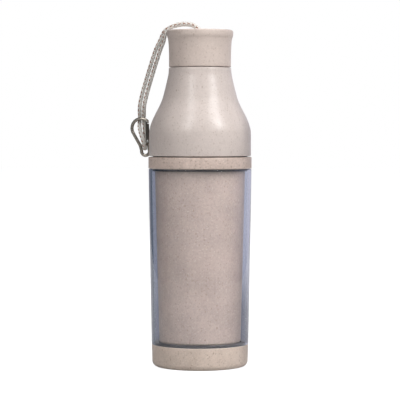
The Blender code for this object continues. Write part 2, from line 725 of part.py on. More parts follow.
def arc(centre, radius, start, end, steps):
    """Points of an arc in the carabiner's plane, from one angle to another."""
    angles = [start + (end - start) * k / steps for k in range(steps + 1)]
    return [Vector((centre[0] + radius * math.cos(a), 0, centre[1] + radius * math.sin(a))) for a in angles]


def gate_line():
    """The hinge point and the nose point, between which the gate lies."""
    hinge = Vector((WAIST_HALF_WIDTH, 0, HINGE_HEIGHT))
    nose = arc((0, BEND_SPACING), HEAD_BEND, NOSE_ANGLE, NOSE_ANGLE, 1)[0]
    return hinge, nose


def gate_matrix():
    """Turns +Z along the gate and puts the origin on its hinge."""
    hinge, nose = gate_line()
    along = nose - hinge
    return Matrix.Translation(hinge) @ Matrix.Rotation(math.atan2(along.x, along.z), 4, "Y")


def frame_path():
    """The bent wire: lip, head, spine, waist, eye, and up to the tongue that carries the gate."""
    hinge, nose = gate_line()
    lip = nose + (hinge - nose).normalized() * LAP_LENGTH
    lean = math.asin((HEAD_BEND - EYE_BEND) / BEND_SPACING)
    head = arc((0, BEND_SPACING), HEAD_BEND, NOSE_ANGLE, math.pi + lean, HEAD_STEPS)
    eye = arc((0, 0), EYE_BEND, EYE_START, EYE_END, EYE_STEPS)
    waist = Vector((-WAIST_HALF_WIDTH, 0, CROSSBAR_HEIGHT))
    spine = smooth_line([head[-1], head[-1].lerp(waist, SPINE_SHARE), waist, eye[0]], SPINE_STEPS)[1:-1]
    tongue = hinge + Vector((0, 0, PIN_DIAMETER / 2 + FINE_CLEARANCE + WIRE_RADIUS / 2))
    foot = Vector((WAIST_HALF_WIDTH, 0, CROSSBAR_HEIGHT - CROSSBAR_DIAMETER))
    return [lip, *head, *spine, *eye, foot, tongue]


def build_carabiner_frame(finish, parts, cutters, frame):
    """The wire gourd with its crossbar, the lip that stops the gate, and the flat tongue in the gate's fork."""
    bent = wire("carabiner_frame", frame_path(), WIRE_DIAMETER, finish, parts, WIRE_SIDES)
    made = plain_mesh(bent, parts)
    bar = rod("crossbar", (-WAIST_HALF_WIDTH, 0, CROSSBAR_HEIGHT), (WAIST_HALF_WIDTH, 0, CROSSBAR_HEIGHT),
              CROSSBAR_DIAMETER, cutters)
    combine(made, bar, "UNION")
    hinge, nose = gate_line()
    swing = GATE_DIAMETER + 2 * FINE_CLEARANCE
    for name, sign in (("fork_front", -1), ("fork_back", 1)):
        near = hinge + Vector((0, sign * TONGUE_PLATE / 2, 0))
        far = hinge + Vector((0, sign * (WIRE_RADIUS + OVERRUN), 0))
        combine(made, rod(name, near, far, swing + WIRE_RADIUS, cutters), "DIFFERENCE")
    hole = PIN_DIAMETER + 2 * FINE_CLEARANCE
    side = Vector((0, WIRE_RADIUS + OVERRUN, 0))
    combine(made, rod("tongue_hole", hinge - side, hinge + side, hole, cutters), "DIFFERENCE")
    length = (nose - hinge).length
    lap = (GATE_DIAMETER, GATE_DIAMETER + OVERRUN, LAP_LENGTH + OVERRUN)
    inner_side = Matrix.Translation((FINE_CLEARANCE - lap[0] / 2, 0, length - lap[2] / 2))
    combine(made, block("lap_of_nose", lap, gate_matrix() @ inner_side, cutters), "DIFFERENCE")
    made = plain_mesh(made, parts)
    made.parent = frame
    return made


def build_gate(finish, parts, cutters, frame):
    """The hollow gate: round foot with a fork for the tongue, bore for the spring, half-lap at its head."""
    hinge, nose = gate_line()
    length = (nose - hinge).length - FINE_CLEARANCE
    gate = rod("carabiner_gate", (0, 0, 0), (0, 0, length), GATE_DIAMETER, parts, finish)
    gate.matrix_world = gate_matrix()
    side = Vector((0, GATE_DIAMETER / 2, 0))
    combine(gate, rod("gate_foot", hinge - side, hinge + side, GATE_DIAMETER, cutters), "UNION")
    slot_top = gate_slot_top()
    slot = (2 * GATE_DIAMETER, TONGUE_PLATE + 2 * FINE_CLEARANCE, slot_top + GATE_DIAMETER)
    slot_place = Matrix.Translation((0, 0, slot_top - slot[2] / 2))
    combine(gate, block("fork_slot", slot, gate_matrix() @ slot_place, cutters), "DIFFERENCE")
    bore_top = slot_top + FINE_CLEARANCE * 2 + SPRING_PITCH * SPRING_TURNS + SPRING_WIRE
    start, end = gate_matrix() @ Vector((0, 0, 0)), gate_matrix() @ Vector((0, 0, bore_top))
    combine(gate, rod("spring_bore", start, end, GATE_DIAMETER / 2, cutters), "DIFFERENCE")
    hole = PIN_DIAMETER + 2 * FINE_CLEARANCE
    combine(gate, rod("fork_hole", hinge - 2 * side, hinge + 2 * side, hole, cutters), "DIFFERENCE")
    lap = (GATE_DIAMETER, GATE_DIAMETER + OVERRUN, LAP_LENGTH + FINE_CLEARANCE + OVERRUN)
    outer_side = Matrix.Translation((lap[0] / 2 - FINE_CLEARANCE, 0, length - LAP_LENGTH - FINE_CLEARANCE))
    lap_place = gate_matrix() @ outer_side @ Matrix.Translation((0, 0, lap[2] / 2))
    combine(gate, block("lap_of_gate", lap, lap_place, cutters), "DIFFERENCE")
    made = plain_mesh(gate, parts)
    made.parent = frame
    return made


def gate_slot_top():
    """How far above the hinge the fork's slot ends, clear of the tongue as the gate swings."""
    return math.hypot(PIN_DIAMETER / 2 + FINE_CLEARANCE + WIRE_RADIUS / 2, WIRE_RADIUS) + FINE_CLEARANCE


def build_pin(finish, parts, frame):
    """The rivet: a shank with a low head on each side of the gate."""
    half = GATE_DIAMETER / 2 + FINE_CLEARANCE
    head = PIN_HEAD_DIAMETER / 2
    shank = PIN_DIAMETER / 2
    outline = rounded(
        [
            (0, half + PIN_HEAD_HEIGHT, 0), (head, half + PIN_HEAD_HEIGHT, PIN_HEAD_HEIGHT), (head, half, 0),
            (shank, half, 0), (shank, -half, 0), (head, -half, 0),
            (head, -half - PIN_HEAD_HEIGHT, PIN_HEAD_HEIGHT), (0, -half - PIN_HEAD_HEIGHT, 0),
        ],
        closed=False,
    )
    pin = turned("gate_pin", outline, finish, parts, SMALL_STEPS)
    pin.matrix_world = Matrix.Translation(gate_line()[0]) @ Matrix.Rotation(math.pi / 2, 4, "X")
    made = plain_mesh(pin, parts)
    made.parent = frame
    return made


def build_spring(finish, parts, frame):
    """The coil spring in the gate's bore, wound by a formula."""
    radius = GATE_DIAMETER / 4 - FINE_CLEARANCE / 2 - SPRING_WIRE / 2
    bottom = gate_slot_top() + FINE_CLEARANCE
    points = []
    for k in range(SPRING_TURNS * SPRING_POINTS + 1):
        angle = 2 * math.pi * k / SPRING_POINTS
        height = bottom + SPRING_WIRE / 2 + SPRING_PITCH * k / SPRING_POINTS
        points.append(gate_matrix() @ Vector((radius * math.cos(angle), radius * math.sin(angle), height)))
    print(f"spring: {SPRING_PITCH - SPRING_WIRE:.5f} m between its turns")
    spring = wire("gate_spring", points, SPRING_WIRE, finish, parts, SPRING_SIDES)
    spring.parent = frame
    return spring


def empty(name, parent, matrix, home):
    made = bpy.data.objects.new(name, None)
    home.objects.link(made)
    made.parent = parent
    made.matrix_local = matrix
    return made


def main():
    clear_scene()
    parts = collection("double_wall_bottle")
    cutters = collection("cutters")
    speckled = material("speckled_bran_plastic", (0.58, 0.49, 0.43, 1), 0.45)
    clear = material("clear_plastic", (0.80, 0.84, 0.90, 1), 0.08, transmission=0.9)
    rubber = material("dark_rubber", (0.05, 0.05, 0.055, 1), 0.6)
    insert = material("insert_plastic", (0.66, 0.60, 0.55, 1), 0.5)
    braid = material("braided_cord", (0.74, 0.69, 0.62, 1), 0.9)
    metal = material("gunmetal", (0.25, 0.24, 0.22, 1), 0.3, metallic=1.0)
    steel = material("spring_steel", (0.6, 0.6, 0.6, 1), 0.3, metallic=1.0)

    build_base(speckled, parts, cutters)
    build_sleeve(clear, parts)
    build_inner_cup(speckled, parts)
    build_collar(speckled, parts)
    build_seals(rubber, parts)
    build_shoulder(speckled, parts)
    build_cap_shell(speckled, parts, cutters)
    build_cap_liner(insert, parts)

    strap = empty("strap_frame", None, Matrix.Rotation(STRAP_TURN, 4, "Z"), parts)
    hang = Matrix.Translation((-CARABINER_OUT, 0, CARABINER_HEIGHT)) @ Matrix.Rotation(CARABINER_LEAN, 4, "Y")
    carabiner = empty("carabiner", strap, hang, parts)
    build_cord(braid, parts, strap)
    build_knot(braid, parts, strap)
    build_carabiner_frame(metal, parts, cutters, carabiner)
    build_gate(metal, parts, cutters, carabiner)
    build_pin(steel, parts, carabiner)
    build_spring(steel, parts, carabiner)
    bpy.context.view_layer.update()


main()
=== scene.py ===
"""Looks of the double wall bottle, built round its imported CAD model.

Every piece is made again here with finer facets and with what the solids leave out: threads, the edges of
the cord's slot, the braid and the finishes. Turned pieces share one node tree, threads and the coil spring
a second, the braided cord and its knot a third, and the base's ribs have a fourth. Lengths are in metres,
in the CAD model's frame: +Z is up, -Y points to the viewer and the strap hangs on the -X side.
"""

import json
from functools import cache
from math import asin, atan2, cos, hypot, pi, radians, sin, tan, tau
from types import SimpleNamespace

import bmesh
import bpy
from mathutils import Matrix, Vector

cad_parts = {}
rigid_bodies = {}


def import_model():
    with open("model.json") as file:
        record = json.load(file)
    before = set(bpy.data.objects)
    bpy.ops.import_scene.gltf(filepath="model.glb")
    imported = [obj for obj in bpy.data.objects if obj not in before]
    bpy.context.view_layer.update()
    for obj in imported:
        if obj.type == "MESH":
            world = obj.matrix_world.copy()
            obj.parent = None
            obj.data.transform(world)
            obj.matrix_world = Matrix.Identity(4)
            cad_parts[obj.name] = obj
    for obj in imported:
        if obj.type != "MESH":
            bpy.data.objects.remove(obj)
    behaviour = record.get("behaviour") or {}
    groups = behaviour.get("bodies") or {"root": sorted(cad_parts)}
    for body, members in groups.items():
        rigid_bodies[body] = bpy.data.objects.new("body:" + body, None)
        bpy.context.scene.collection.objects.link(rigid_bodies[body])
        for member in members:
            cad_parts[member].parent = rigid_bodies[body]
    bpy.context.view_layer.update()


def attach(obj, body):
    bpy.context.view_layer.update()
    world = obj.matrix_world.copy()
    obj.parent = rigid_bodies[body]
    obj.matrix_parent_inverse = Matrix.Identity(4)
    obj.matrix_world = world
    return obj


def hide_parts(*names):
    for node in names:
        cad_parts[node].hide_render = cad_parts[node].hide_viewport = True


# Facets
TURN_STEPS = 160
SLEEVE_STEPS = 240
FINE_STEPS = 48
FACET_LENGTH = 0.00035
CURVE_STEPS = 14
SHARES_STEPS = 6
FILLET_SHARE = 0.45
SHARP_ANGLE = radians(35)
MERGE = 0.000002
CLEARANCE = 0.0003
FINE_CLEARANCE = 0.0002
OVERRUN = 0.002
EDGE_FILLET = 0.0005
SMALL_FILLET = 0.0002

# Bottle body
COLLAR_RADIUS = 0.0350
COLLAR_HEIGHT = 0.0078
SLEEVE_HEIGHT = 0.1188
SLEEVE_TOP_RADIUS = 0.0349
SLEEVE_BOTTOM_RADIUS = 0.0330
SLEEVE_WALL = 0.0020
# The long face of the sleeve starts this far inside its edges, so that it shades as a straight cone
SLEEVE_HOLD = 0.0008
TONGUE_THICKNESS = 0.0009
TONGUE_LENGTH = 0.0015
CUP_TOP_RADIUS = 0.0306
CUP_BOTTOM_RADIUS = 0.0276
CUP_WALL = 0.0018
CUP_FLOOR = 0.0020
CUP_FILLET = 0.0018
CUP_SEAT_GAP = 0.0010
CUP_FLANGE_WIDTH = 0.0020
CUP_FLANGE_THICKNESS = 0.0013
BASE_RADIUS = 0.0328
BASE_TAPER = 0.0004
BASE_HEIGHT = 0.0150
BASE_FILLET = 0.0050
BASE_WALL = 0.0022
BASE_FLOOR = 0.0020
FOOT_RECESS = 0.0010
FOOT_RING_WIDTH = 0.0035
SUPPORT_RING_RADIUS = 0.0240
SUPPORT_RING_WALL = 0.0020
RIB_COUNT = 8
RIB_THICKNESS = 0.0015
RIB_HEIGHT = 0.0060
LEDGE_DEPTH = 0.0027
SEAL_HEIGHT = 0.0013
BASE_SEAL_HEIGHT = 0.0017
SEAL_FILLET = 0.0003

# Shoulder and neck
SHOULDER_RADIUS = 0.0346
SHOULDER_STRAIGHT = 0.0135
SHOULDER_BELL_HEIGHT = 0.0462
SHOULDER_NECK_RADIUS = 0.0211
SHOULDER_WALL = 0.0022
SHOULDER_SEAM = 0.0007
PLUG_LENGTH = 0.0115
PLUG_WALL = 0.0020
# The bell's outline: share of its height from the top, and share of its growth in radius
BELL_SHARES = (
    (0.00, 0.000), (0.10, 0.027), (0.22, 0.116), (0.34, 0.216), (0.46, 0.330), (0.56, 0.474),
    (0.65, 0.632), (0.74, 0.786), (0.83, 0.908), (0.92, 0.983), (1.00, 1.000),
)
NECK_RADIUS = 0.0169
NECK_BORE = 0.0150
NECK_HEIGHT = 0.0090

# Cap
CAP_SEAM = 0.0004
CAP_WAIST_RADIUS = 0.0210
CAP_RIM_RADIUS = 0.0225
CAP_HEIGHT = 0.0250
CAP_LIP_FILLET = 0.0030
CAP_WALL = 0.0015
CAP_DISH_RADIUS = 0.0178
CAP_DISH_DEPTH = 0.0050
CAP_DISH_FLOOR = 0.0018
CAP_DISH_FILLET = 0.0025
# The cap's side: share of its height above the seam, and share of its growth from waist to rim
CAP_FLARE_SHARES = (
    (0.00, 0.00), (0.32, 0.00), (0.50, 0.09), (0.64, 0.22), (0.76, 0.48), (0.82, 0.82), (0.855, 0.96),
    (0.88, 1.00),
)
LINER_OUTER = 0.0192
LINER_INNER = 0.0180
LINER_TOP = 0.0015

# Threads: the cap's on the neck and in the liner, the shoulder's on its plug and in the cup's rim
CAP_THREAD = {"lead": 0.0050, "turns": 1.3, "width": 0.0018, "depth": 0.0015}
SHOULDER_THREAD = {"lead": 0.0060, "turns": 1.1, "width": 0.0021, "depth": 0.0017}
CAP_THREAD_RISE = 0.0016
SHOULDER_THREAD_RISE = 0.0019
THREAD_RELIEF = 0.0006
THREAD_TAPER_SHARE = 0.06
THREAD_SIDES = 12

# Strap
STRAP_TURN = radians(-16)
CORD_DIAMETER = 0.0028
CORD_PAIR_GAP = 0.0004
SLOT_ROOM = 0.0004
SLOT_STRAND_SPACING = 0.0034
SLOT_CHAMFER = 0.0005
STRAP_EXIT_OFFSET = 0.0004
KNOT_LENGTH = 0.0130
KNOT_WIDTH = 0.0100
# Middle line of the doubled cord from the knot to above the carabiner: distance out along -X, height, and
# how far the two strands have turned from one behind the other to side by side
PAIR_ROUTE = (
    (-0.0004, 0.2212, 0), (-0.0004, 0.2245, 0), (0.0008, 0.2284, 0), (0.0054, 0.2316, 8),
    (0.0118, 0.2323, 14), (0.0182, 0.2312, 14), (0.0227, 0.2293, 14), (0.0245, 0.2277, 28),
    (0.0257, 0.2251, 44), (0.0269, 0.2213, 64), (0.0296, 0.2153, 82), (0.0318, 0.2092, 90),
    (0.0345, 0.2010, 90), (0.0371, 0.1928, 90), (0.0395, 0.1847, 90), (0.0412, 0.1774, 90),
)
SLOT_POINTS = 2
# The two strands in the carabiner: across it, up along it from its eye, and depth behind it
BIGHT_ROUTE = (
    (0.0002, 0.0268, 0.0024), (-0.0003, 0.0247, 0.0030), (-0.0008, 0.0225, 0.0031),
    (-0.0012, 0.0200, 0.0024), (-0.0012, 0.0175, 0.0009), (-0.0007, 0.0150, -0.0010),
    (0.0000, 0.0127, -0.0029), (0.0007, 0.0103, -0.0043), (0.0012, 0.0078, -0.0049),
    (0.0012, 0.0055, -0.0045), (0.0009, 0.0036, -0.0034), (0.0005, 0.0024, -0.0018),
    (0.0000, 0.0020, 0.0000), (-0.0004, 0.0024, 0.0018), (-0.0007, 0.0037, 0.0034),
    (-0.0007, 0.0055, 0.0045), (-0.0004, 0.0078, 0.0049), (0.0003, 0.0108, 0.0047),
    (0.0009, 0.0142, 0.0042), (0.0014, 0.0175, 0.0036), (0.0019, 0.0210, 0.0033),
    (0.0027, 0.0245, 0.0029),
)
CORD_PATH_STEP = 0.0010

# Braid of the cord: four yarns each way, of two ends side by side, over a core, with one straight brown
# tracer that comes up between their crossings
BRAID = {
    "pitch": 0.0124, "yarns": 4, "ends": 2, "yarn_diameter": 0.00060, "yarn_spacing": 0.00052,
    "yarn_radius": 0.00094, "wave": 0.00026, "core_diameter": 0.0013, "tracer_diameter": 0.00095,
    "tracer_radius": 0.00082, "tracer_wave": 0.00032, "step": 0.00045, "sides": 5,
}
# The tracer lies on the outer side of the cord's bends, turned this far to the viewer
TRACER_TURN = radians(64)
BEND_CENTRE = (-0.0120, 0.0, 0.2215)

# Carabiner
CARABINER_LEAN = radians(-11)
CARABINER_ABOVE_COLLAR = 0.0036
WIRE_DIAMETER = 0.0022
HEAD_BEND = 0.0066
EYE_BEND = 0.0028
BEND_SPACING = 0.0161
WAIST_HALF_WIDTH = 0.0030
HEAD_STEPS = 44
EYE_START = radians(160)
EYE_END = radians(372)
EYE_STEPS = 36
SPINE_SHARE = 0.55
SPINE_STEPS = 10
CROSSBAR_HEIGHT = 0.0046
CROSSBAR_DIAMETER = 0.0016
HINGE_HEIGHT = 0.0064
GATE_DIAMETER = 0.0024
NOSE_ANGLE = radians(38)
LAP_LENGTH = 0.0015
TONGUE_PLATE = 0.0007
PIN_DIAMETER = 0.0009
PIN_HEAD_DIAMETER = 0.0018
PIN_HEAD_HEIGHT = 0.0003
SPRING_WIRE = 0.00022
SPRING_PITCH = 0.00075
SPRING_TURNS = 6
SPRING_STEPS = 28
SPRING_SIDES = 8
SPRING_TAPER_SHARE = 0.004
WIRE_SIDES = 24

# Straw plastic: tone, strength of the grain, roughness and scale of the grain of each piece
BRAN = (0.30, 0.20, 0.14)
STRAW = (0.80, 0.74, 0.66)
SHOULDER_SKIN = ((0.655, 0.57, 0.525), 0.6, 0.34, 1000)
CAP_SKIN = ((0.655, 0.55, 0.49), 0.6, 0.42, 1000)
COLLAR_SKIN = ((0.625, 0.50, 0.435), 1.3, 0.42, 900)
BASE_SKIN = ((0.61, 0.50, 0.425), 1.0, 0.42, 1000)
# The cup's tone is set darker than the other straw pieces: painted shade, for the shade it takes behind the
# clear wall and under the collar
CUP_SHADED_SKIN = ((0.505, 0.39, 0.33), 1.15, 0.42, 800)
# Its specks, flakes and straws: cells in a metre, stretch, share of the cells that hold one, radius in
# cells, how much they cover, and colour
FLECKS = (
    (760, (1.0, 1.0, 0.75), 0.42, 0.46, 0.42, BRAN),
    (520, (1.0, 1.0, 0.5), 0.10, 0.30, 0.6, BRAN),
    (900, (0.7, 0.7, 1.3), 0.35, 0.38, 0.4, STRAW),
)

# Camera
CAMERA_DISTANCE = 1.275
CAMERA_HEIGHT = 0.1625
AIM_HEIGHT = 0.1129
LENS = 169
SENSOR = 36

# Lamps: azimuth from the viewer's side to the viewer's right, elevation, width, height, power
LAMPS = {"key": (48, 40, 0.36, 0.9, 15.4), "second": (-30, 42, 0.28, 1.25, 9.0), "back": (180, 45, 0.6, 0.6, 7)}
LAMP_DISTANCE = 1.5
LAMP_AIM = (0, 0, 0.13)

# Room: what lights the bottle from all round, and how strong it is from the left and the right
ROOM_COLOUR = (0.95, 0.96, 1.0)
ROOM_STRENGTHS = (0.09, 0.40)
ROOM_REACH = 0.8
# Surroundings that reflections and clear plastic show: the left side, and over it, by the direction of the
# ray, where each begins, where it is full, and its colour
LEFT_SIDE = (0.235, 0.235, 0.285)
OTHER_SIDES = (
    ("across", -0.05, 0.10, (0.55, 0.55, 0.66)), ("up", -0.064, -0.088, (0.18, 0.18, 0.225)),
    ("across", -0.36, -0.52, (0.09, 0.115, 0.15)), ("away", 0.0, -0.3, (0.50, 0.50, 0.50)),
)
WHITE = (1, 1, 1)
BACKDROP_EDGE = (0.03, 0.045)
BELOW_EDGE = (-0.35, -0.5)
BELOW_WHITE = 0.9

# Floor: a strip that widens from near the camera to far behind the bottle, and how bright it shows
FLOOR_NEAR = 0.4
FLOOR_FAR = 6.0
FLOOR_SPREAD = 0.11
FLOOR_MARGIN = 0.16
FLOOR_TONE = (0.6, 0.6, 0.6)
FLOOR_SHADOW_TONE = (0.34, 0.34, 0.34)
FLOOR_GLOW = 0.92
FLOOR_SHINE = 0.15

# A narrow black card beside the bottle: how far out it stands, its near and far edge, and its top
CARD_OUT = 0.075
CARD_EDGES = (-0.053, -0.040)
CARD_TOP = 0.215
CARD_TONE = (0.02, 0.02, 0.02)

# Heights and radii that follow from the sizes above
SLEEVE_BOTTOM = BASE_HEIGHT + CLEARANCE
SLEEVE_TOP = SLEEVE_BOTTOM + SLEEVE_HEIGHT
COLLAR_BOTTOM = SLEEVE_TOP + CLEARANCE
COLLAR_TOP = COLLAR_BOTTOM + COLLAR_HEIGHT
CUP_BOTTOM = BASE_HEIGHT + CUP_SEAT_GAP + CLEARANCE
CUP_TOP = COLLAR_TOP
SHOULDER_BOTTOM = COLLAR_TOP + SHOULDER_SEAM
BELL_BOTTOM = SHOULDER_BOTTOM + SHOULDER_STRAIGHT
BELL_TOP = BELL_BOTTOM + SHOULDER_BELL_HEIGHT
NECK_TOP = BELL_TOP + NECK_HEIGHT
CAP_BOTTOM = BELL_TOP + CAP_SEAM
CAP_TOP = CAP_BOTTOM + CAP_HEIGHT
DISH_FLOOR_TOP = CAP_TOP - CAP_DISH_DEPTH
DISH_FLOOR_BOTTOM = DISH_FLOOR_TOP - CAP_DISH_FLOOR
LINER_UNDERSIDE = NECK_TOP + SEAL_HEIGHT + 2 * CLEARANCE
LINER_HEIGHT_TOP = LINER_UNDERSIDE + LINER_TOP
CUP_RIM_INNER = CUP_TOP_RADIUS - CUP_WALL
FLANGE_BOTTOM = CUP_TOP - CUP_FLANGE_THICKNESS
PLUG_OUTER = CUP_RIM_INNER - CLEARANCE
PLUG_BOTTOM = SHOULDER_BOTTOM - PLUG_LENGTH
SEAL_SEAT_OUTER = CUP_TOP_RADIUS + CUP_FLANGE_WIDTH
WIRE_RADIUS = WIRE_DIAMETER / 2
PIN_ROOM = PIN_DIAMETER + 2 * FINE_CLEARANCE
CARABINER_OUT = SHOULDER_RADIUS + CLEARANCE + WIRE_RADIUS + EYE_BEND
CARABINER_HEIGHT = COLLAR_TOP + CARABINER_ABOVE_COLLAR


# Node trees


class Wire:
    """The output of a node. Arithmetic with it adds Math nodes to its tree."""

    def __init__(self, nodes, socket):
        self.nodes, self.socket = nodes, socket

    def __add__(self, other):
        return self.nodes.math("ADD", self, other)

    def __sub__(self, other):
        return self.nodes.math("SUBTRACT", self, other)

    def __rsub__(self, other):
        return self.nodes.math("SUBTRACT", other, self)

    def __mul__(self, other):
        return self.nodes.math("MULTIPLY", self, other)

    def __truediv__(self, other):
        return self.nodes.math("DIVIDE", self, other)

    def __gt__(self, other):
        return self.nodes.math("GREATER_THAN", self, other)

    def __lt__(self, other):
        return self.nodes.math("LESS_THAN", self, other)


def found(sockets, name):
    """The socket with this number, or the one in use with this name."""
    return sockets[name] if isinstance(name, int) else next(s for s in sockets if s.name == name and s.enabled)


class Nodes:
    """A node tree that is being made."""

    def __init__(self, tree):
        self.tree = tree

    def add(self, kind, inputs=None, *outputs, **settings):
        """A node with its settings and inputs. Gives the outputs that are asked for, or else its first."""
        node = self.tree.nodes.new(kind)
        for name, setting in settings.items():
            setattr(node, name, setting)
        self.feed(node, inputs or {})
        wires = [Wire(self, found(node.outputs, name)) for name in outputs or (0,)]
        return wires if len(wires) > 1 else wires[0]

    def feed(self, node, inputs):
        """Gives inputs of the node a plain value, a wire, or the first output of another node."""
        for name, value in inputs.items():
            socket = found(node.inputs, name)
            if isinstance(value, (Wire, bpy.types.Node)):
                source = value.socket if isinstance(value, Wire) else value.outputs[0]
                self.tree.links.new(source, socket)
            else:
                socket.default_value = (*value, 1) if socket.type == "RGBA" else value

    def math(self, operation, *values):
        return self.add("ShaderNodeMath", dict(enumerate(values)), operation=operation)

    def vector(self, operation, a, b):
        """A and b are vectors, but for SCALE b is a number."""
        inputs = {0: a, "Scale" if operation == "SCALE" else 1: b}
        return self.add("ShaderNodeVectorMath", inputs, operation=operation)

    def blend(self, share, a, b):
        """Colour a where the share is 0, b where it is 1."""
        return self.add("ShaderNodeMix", {0: share, 6: a, 7: b}, 2, data_type="RGBA")

    def either(self, share, a, b):
        """Shader a where the share is 0, b where it is 1."""
        return self.add("ShaderNodeMixShader", {0: share, 1: a, 2: b})

    def noise(self, place, scale, detail, output="Fac"):
        return self.add("ShaderNodeTexNoise", {"Vector": place, "Scale": scale, "Detail": detail}, output)

    def ranged(self, value, low, high, to_low=0.0, to_high=1.0):
        """The value's range from low to high, spread over another range and clamped to it."""
        inputs = {"Value": value, "From Min": low, "From Max": high, "To Min": to_low, "To Max": to_high}
        return self.add("ShaderNodeMapRange", inputs, "Result")


def geometry_tree(name, floats="", counts="", finishes="finish"):
    """A tree with named inputs: (nodes, the geometry put in, its other inputs, what closes the tree)."""
    tree = bpy.data.node_groups.new(name, "GeometryNodeTree")
    tree.is_modifier = True
    new_socket = tree.interface.new_socket
    new_socket("Geometry", in_out="INPUT", socket_type="NodeSocketGeometry")
    for kind, names in (("Float", floats), ("Int", counts), ("Material", finishes)):
        for each in names.split():
            new_socket(each, in_out="INPUT", socket_type="NodeSocket" + kind)
    new_socket("Geometry", in_out="OUTPUT", socket_type="NodeSocketGeometry")
    nodes = Nodes(tree)
    put_in = tree.nodes.new("NodeGroupInput").outputs
    given = SimpleNamespace(**{s.name: Wire(nodes, s) for s in put_in[1:-1]})

    def close(geometry):
        realized = nodes.add("GeometryNodeRealizeInstances", {"Geometry": geometry})
        nodes.feed(tree.nodes.new("NodeGroupOutput"), {0: realized})
        return tree

    return nodes, Wire(nodes, put_in[0]), given, close


def grid_places(nodes, columns, rows):
    """A grid of vertices as a mesh, with the column and the row of each vertex."""
    grid = nodes.add("GeometryNodeMeshGrid", {"Vertices X": columns, "Vertices Y": rows}, "Mesh")
    index = nodes.add("GeometryNodeInputIndex")
    column = nodes.math("FLOOR", index / rows)
    return grid, column, index - column * rows


def round_axis(nodes, mesh, radius, angle, height, finish):
    """The mesh with its vertices put round Z, its seams and poles merged, and its finish set."""
    across, depth = radius * nodes.math("COSINE", angle), radius * nodes.math("SINE", angle)
    place = nodes.add("ShaderNodeCombineXYZ", {"X": across, "Y": depth, "Z": height})
    placed_mesh = nodes.add("GeometryNodeSetPosition", {"Geometry": mesh, "Position": place})
    merged = nodes.add("GeometryNodeMergeByDistance", {"Geometry": placed_mesh, "Distance": MERGE})
    return nodes.add("GeometryNodeSetMaterial", {"Geometry": merged, "Material": finish})


@cache
def turning_tree():
    """Turns an outline round Z: the outline's points are the rows of a grid and the turn its columns."""
    nodes, outline, given, close = geometry_tree("turned_piece", counts="steps")
    rows = nodes.add("GeometryNodeAttributeDomainSize", {"Geometry": outline}, "Point Count")
    grid, column, row = grid_places(nodes, given.steps + 1, rows)
    inputs = {"Geometry": outline, "Value": nodes.add("GeometryNodeInputPosition"), "Index": row}
    point = nodes.add("GeometryNodeSampleIndex", inputs, "Value", data_type="FLOAT_VECTOR")
    radius, height = nodes.add("ShaderNodeSeparateXYZ", {"Vector": point}, "X", "Z")
    return close(round_axis(nodes, grid, radius, column / given.steps * -tau, height, given.finish))


@cache
def helix_tree():
    """A ridge or wire of oval section that climbs round Z and thins out at both ends."""
    nodes, _, given, close = geometry_tree(
        "helix", "radius lead turns start_height start_angle width depth taper_share", "steps sides"
    )
    grid, column, row = grid_places(nodes, given.steps + 1, given.sides + 1)
    share = column / given.steps
    climbed = share * given.turns
    to_end = nodes.math("MINIMUM", share, 1 - share)
    thick = nodes.math("MINIMUM", to_end / given.taper_share, 1)
    around = row / given.sides * tau
    radius = nodes.math("SINE", around) * (given.depth * 0.5) * thick + given.radius
    start = climbed * given.lead + given.start_height
    height = nodes.math("COSINE", around) * (given.width * 0.5) * thick + start
    return close(round_axis(nodes, grid, radius, climbed * tau + given.start_angle, height, given.finish))


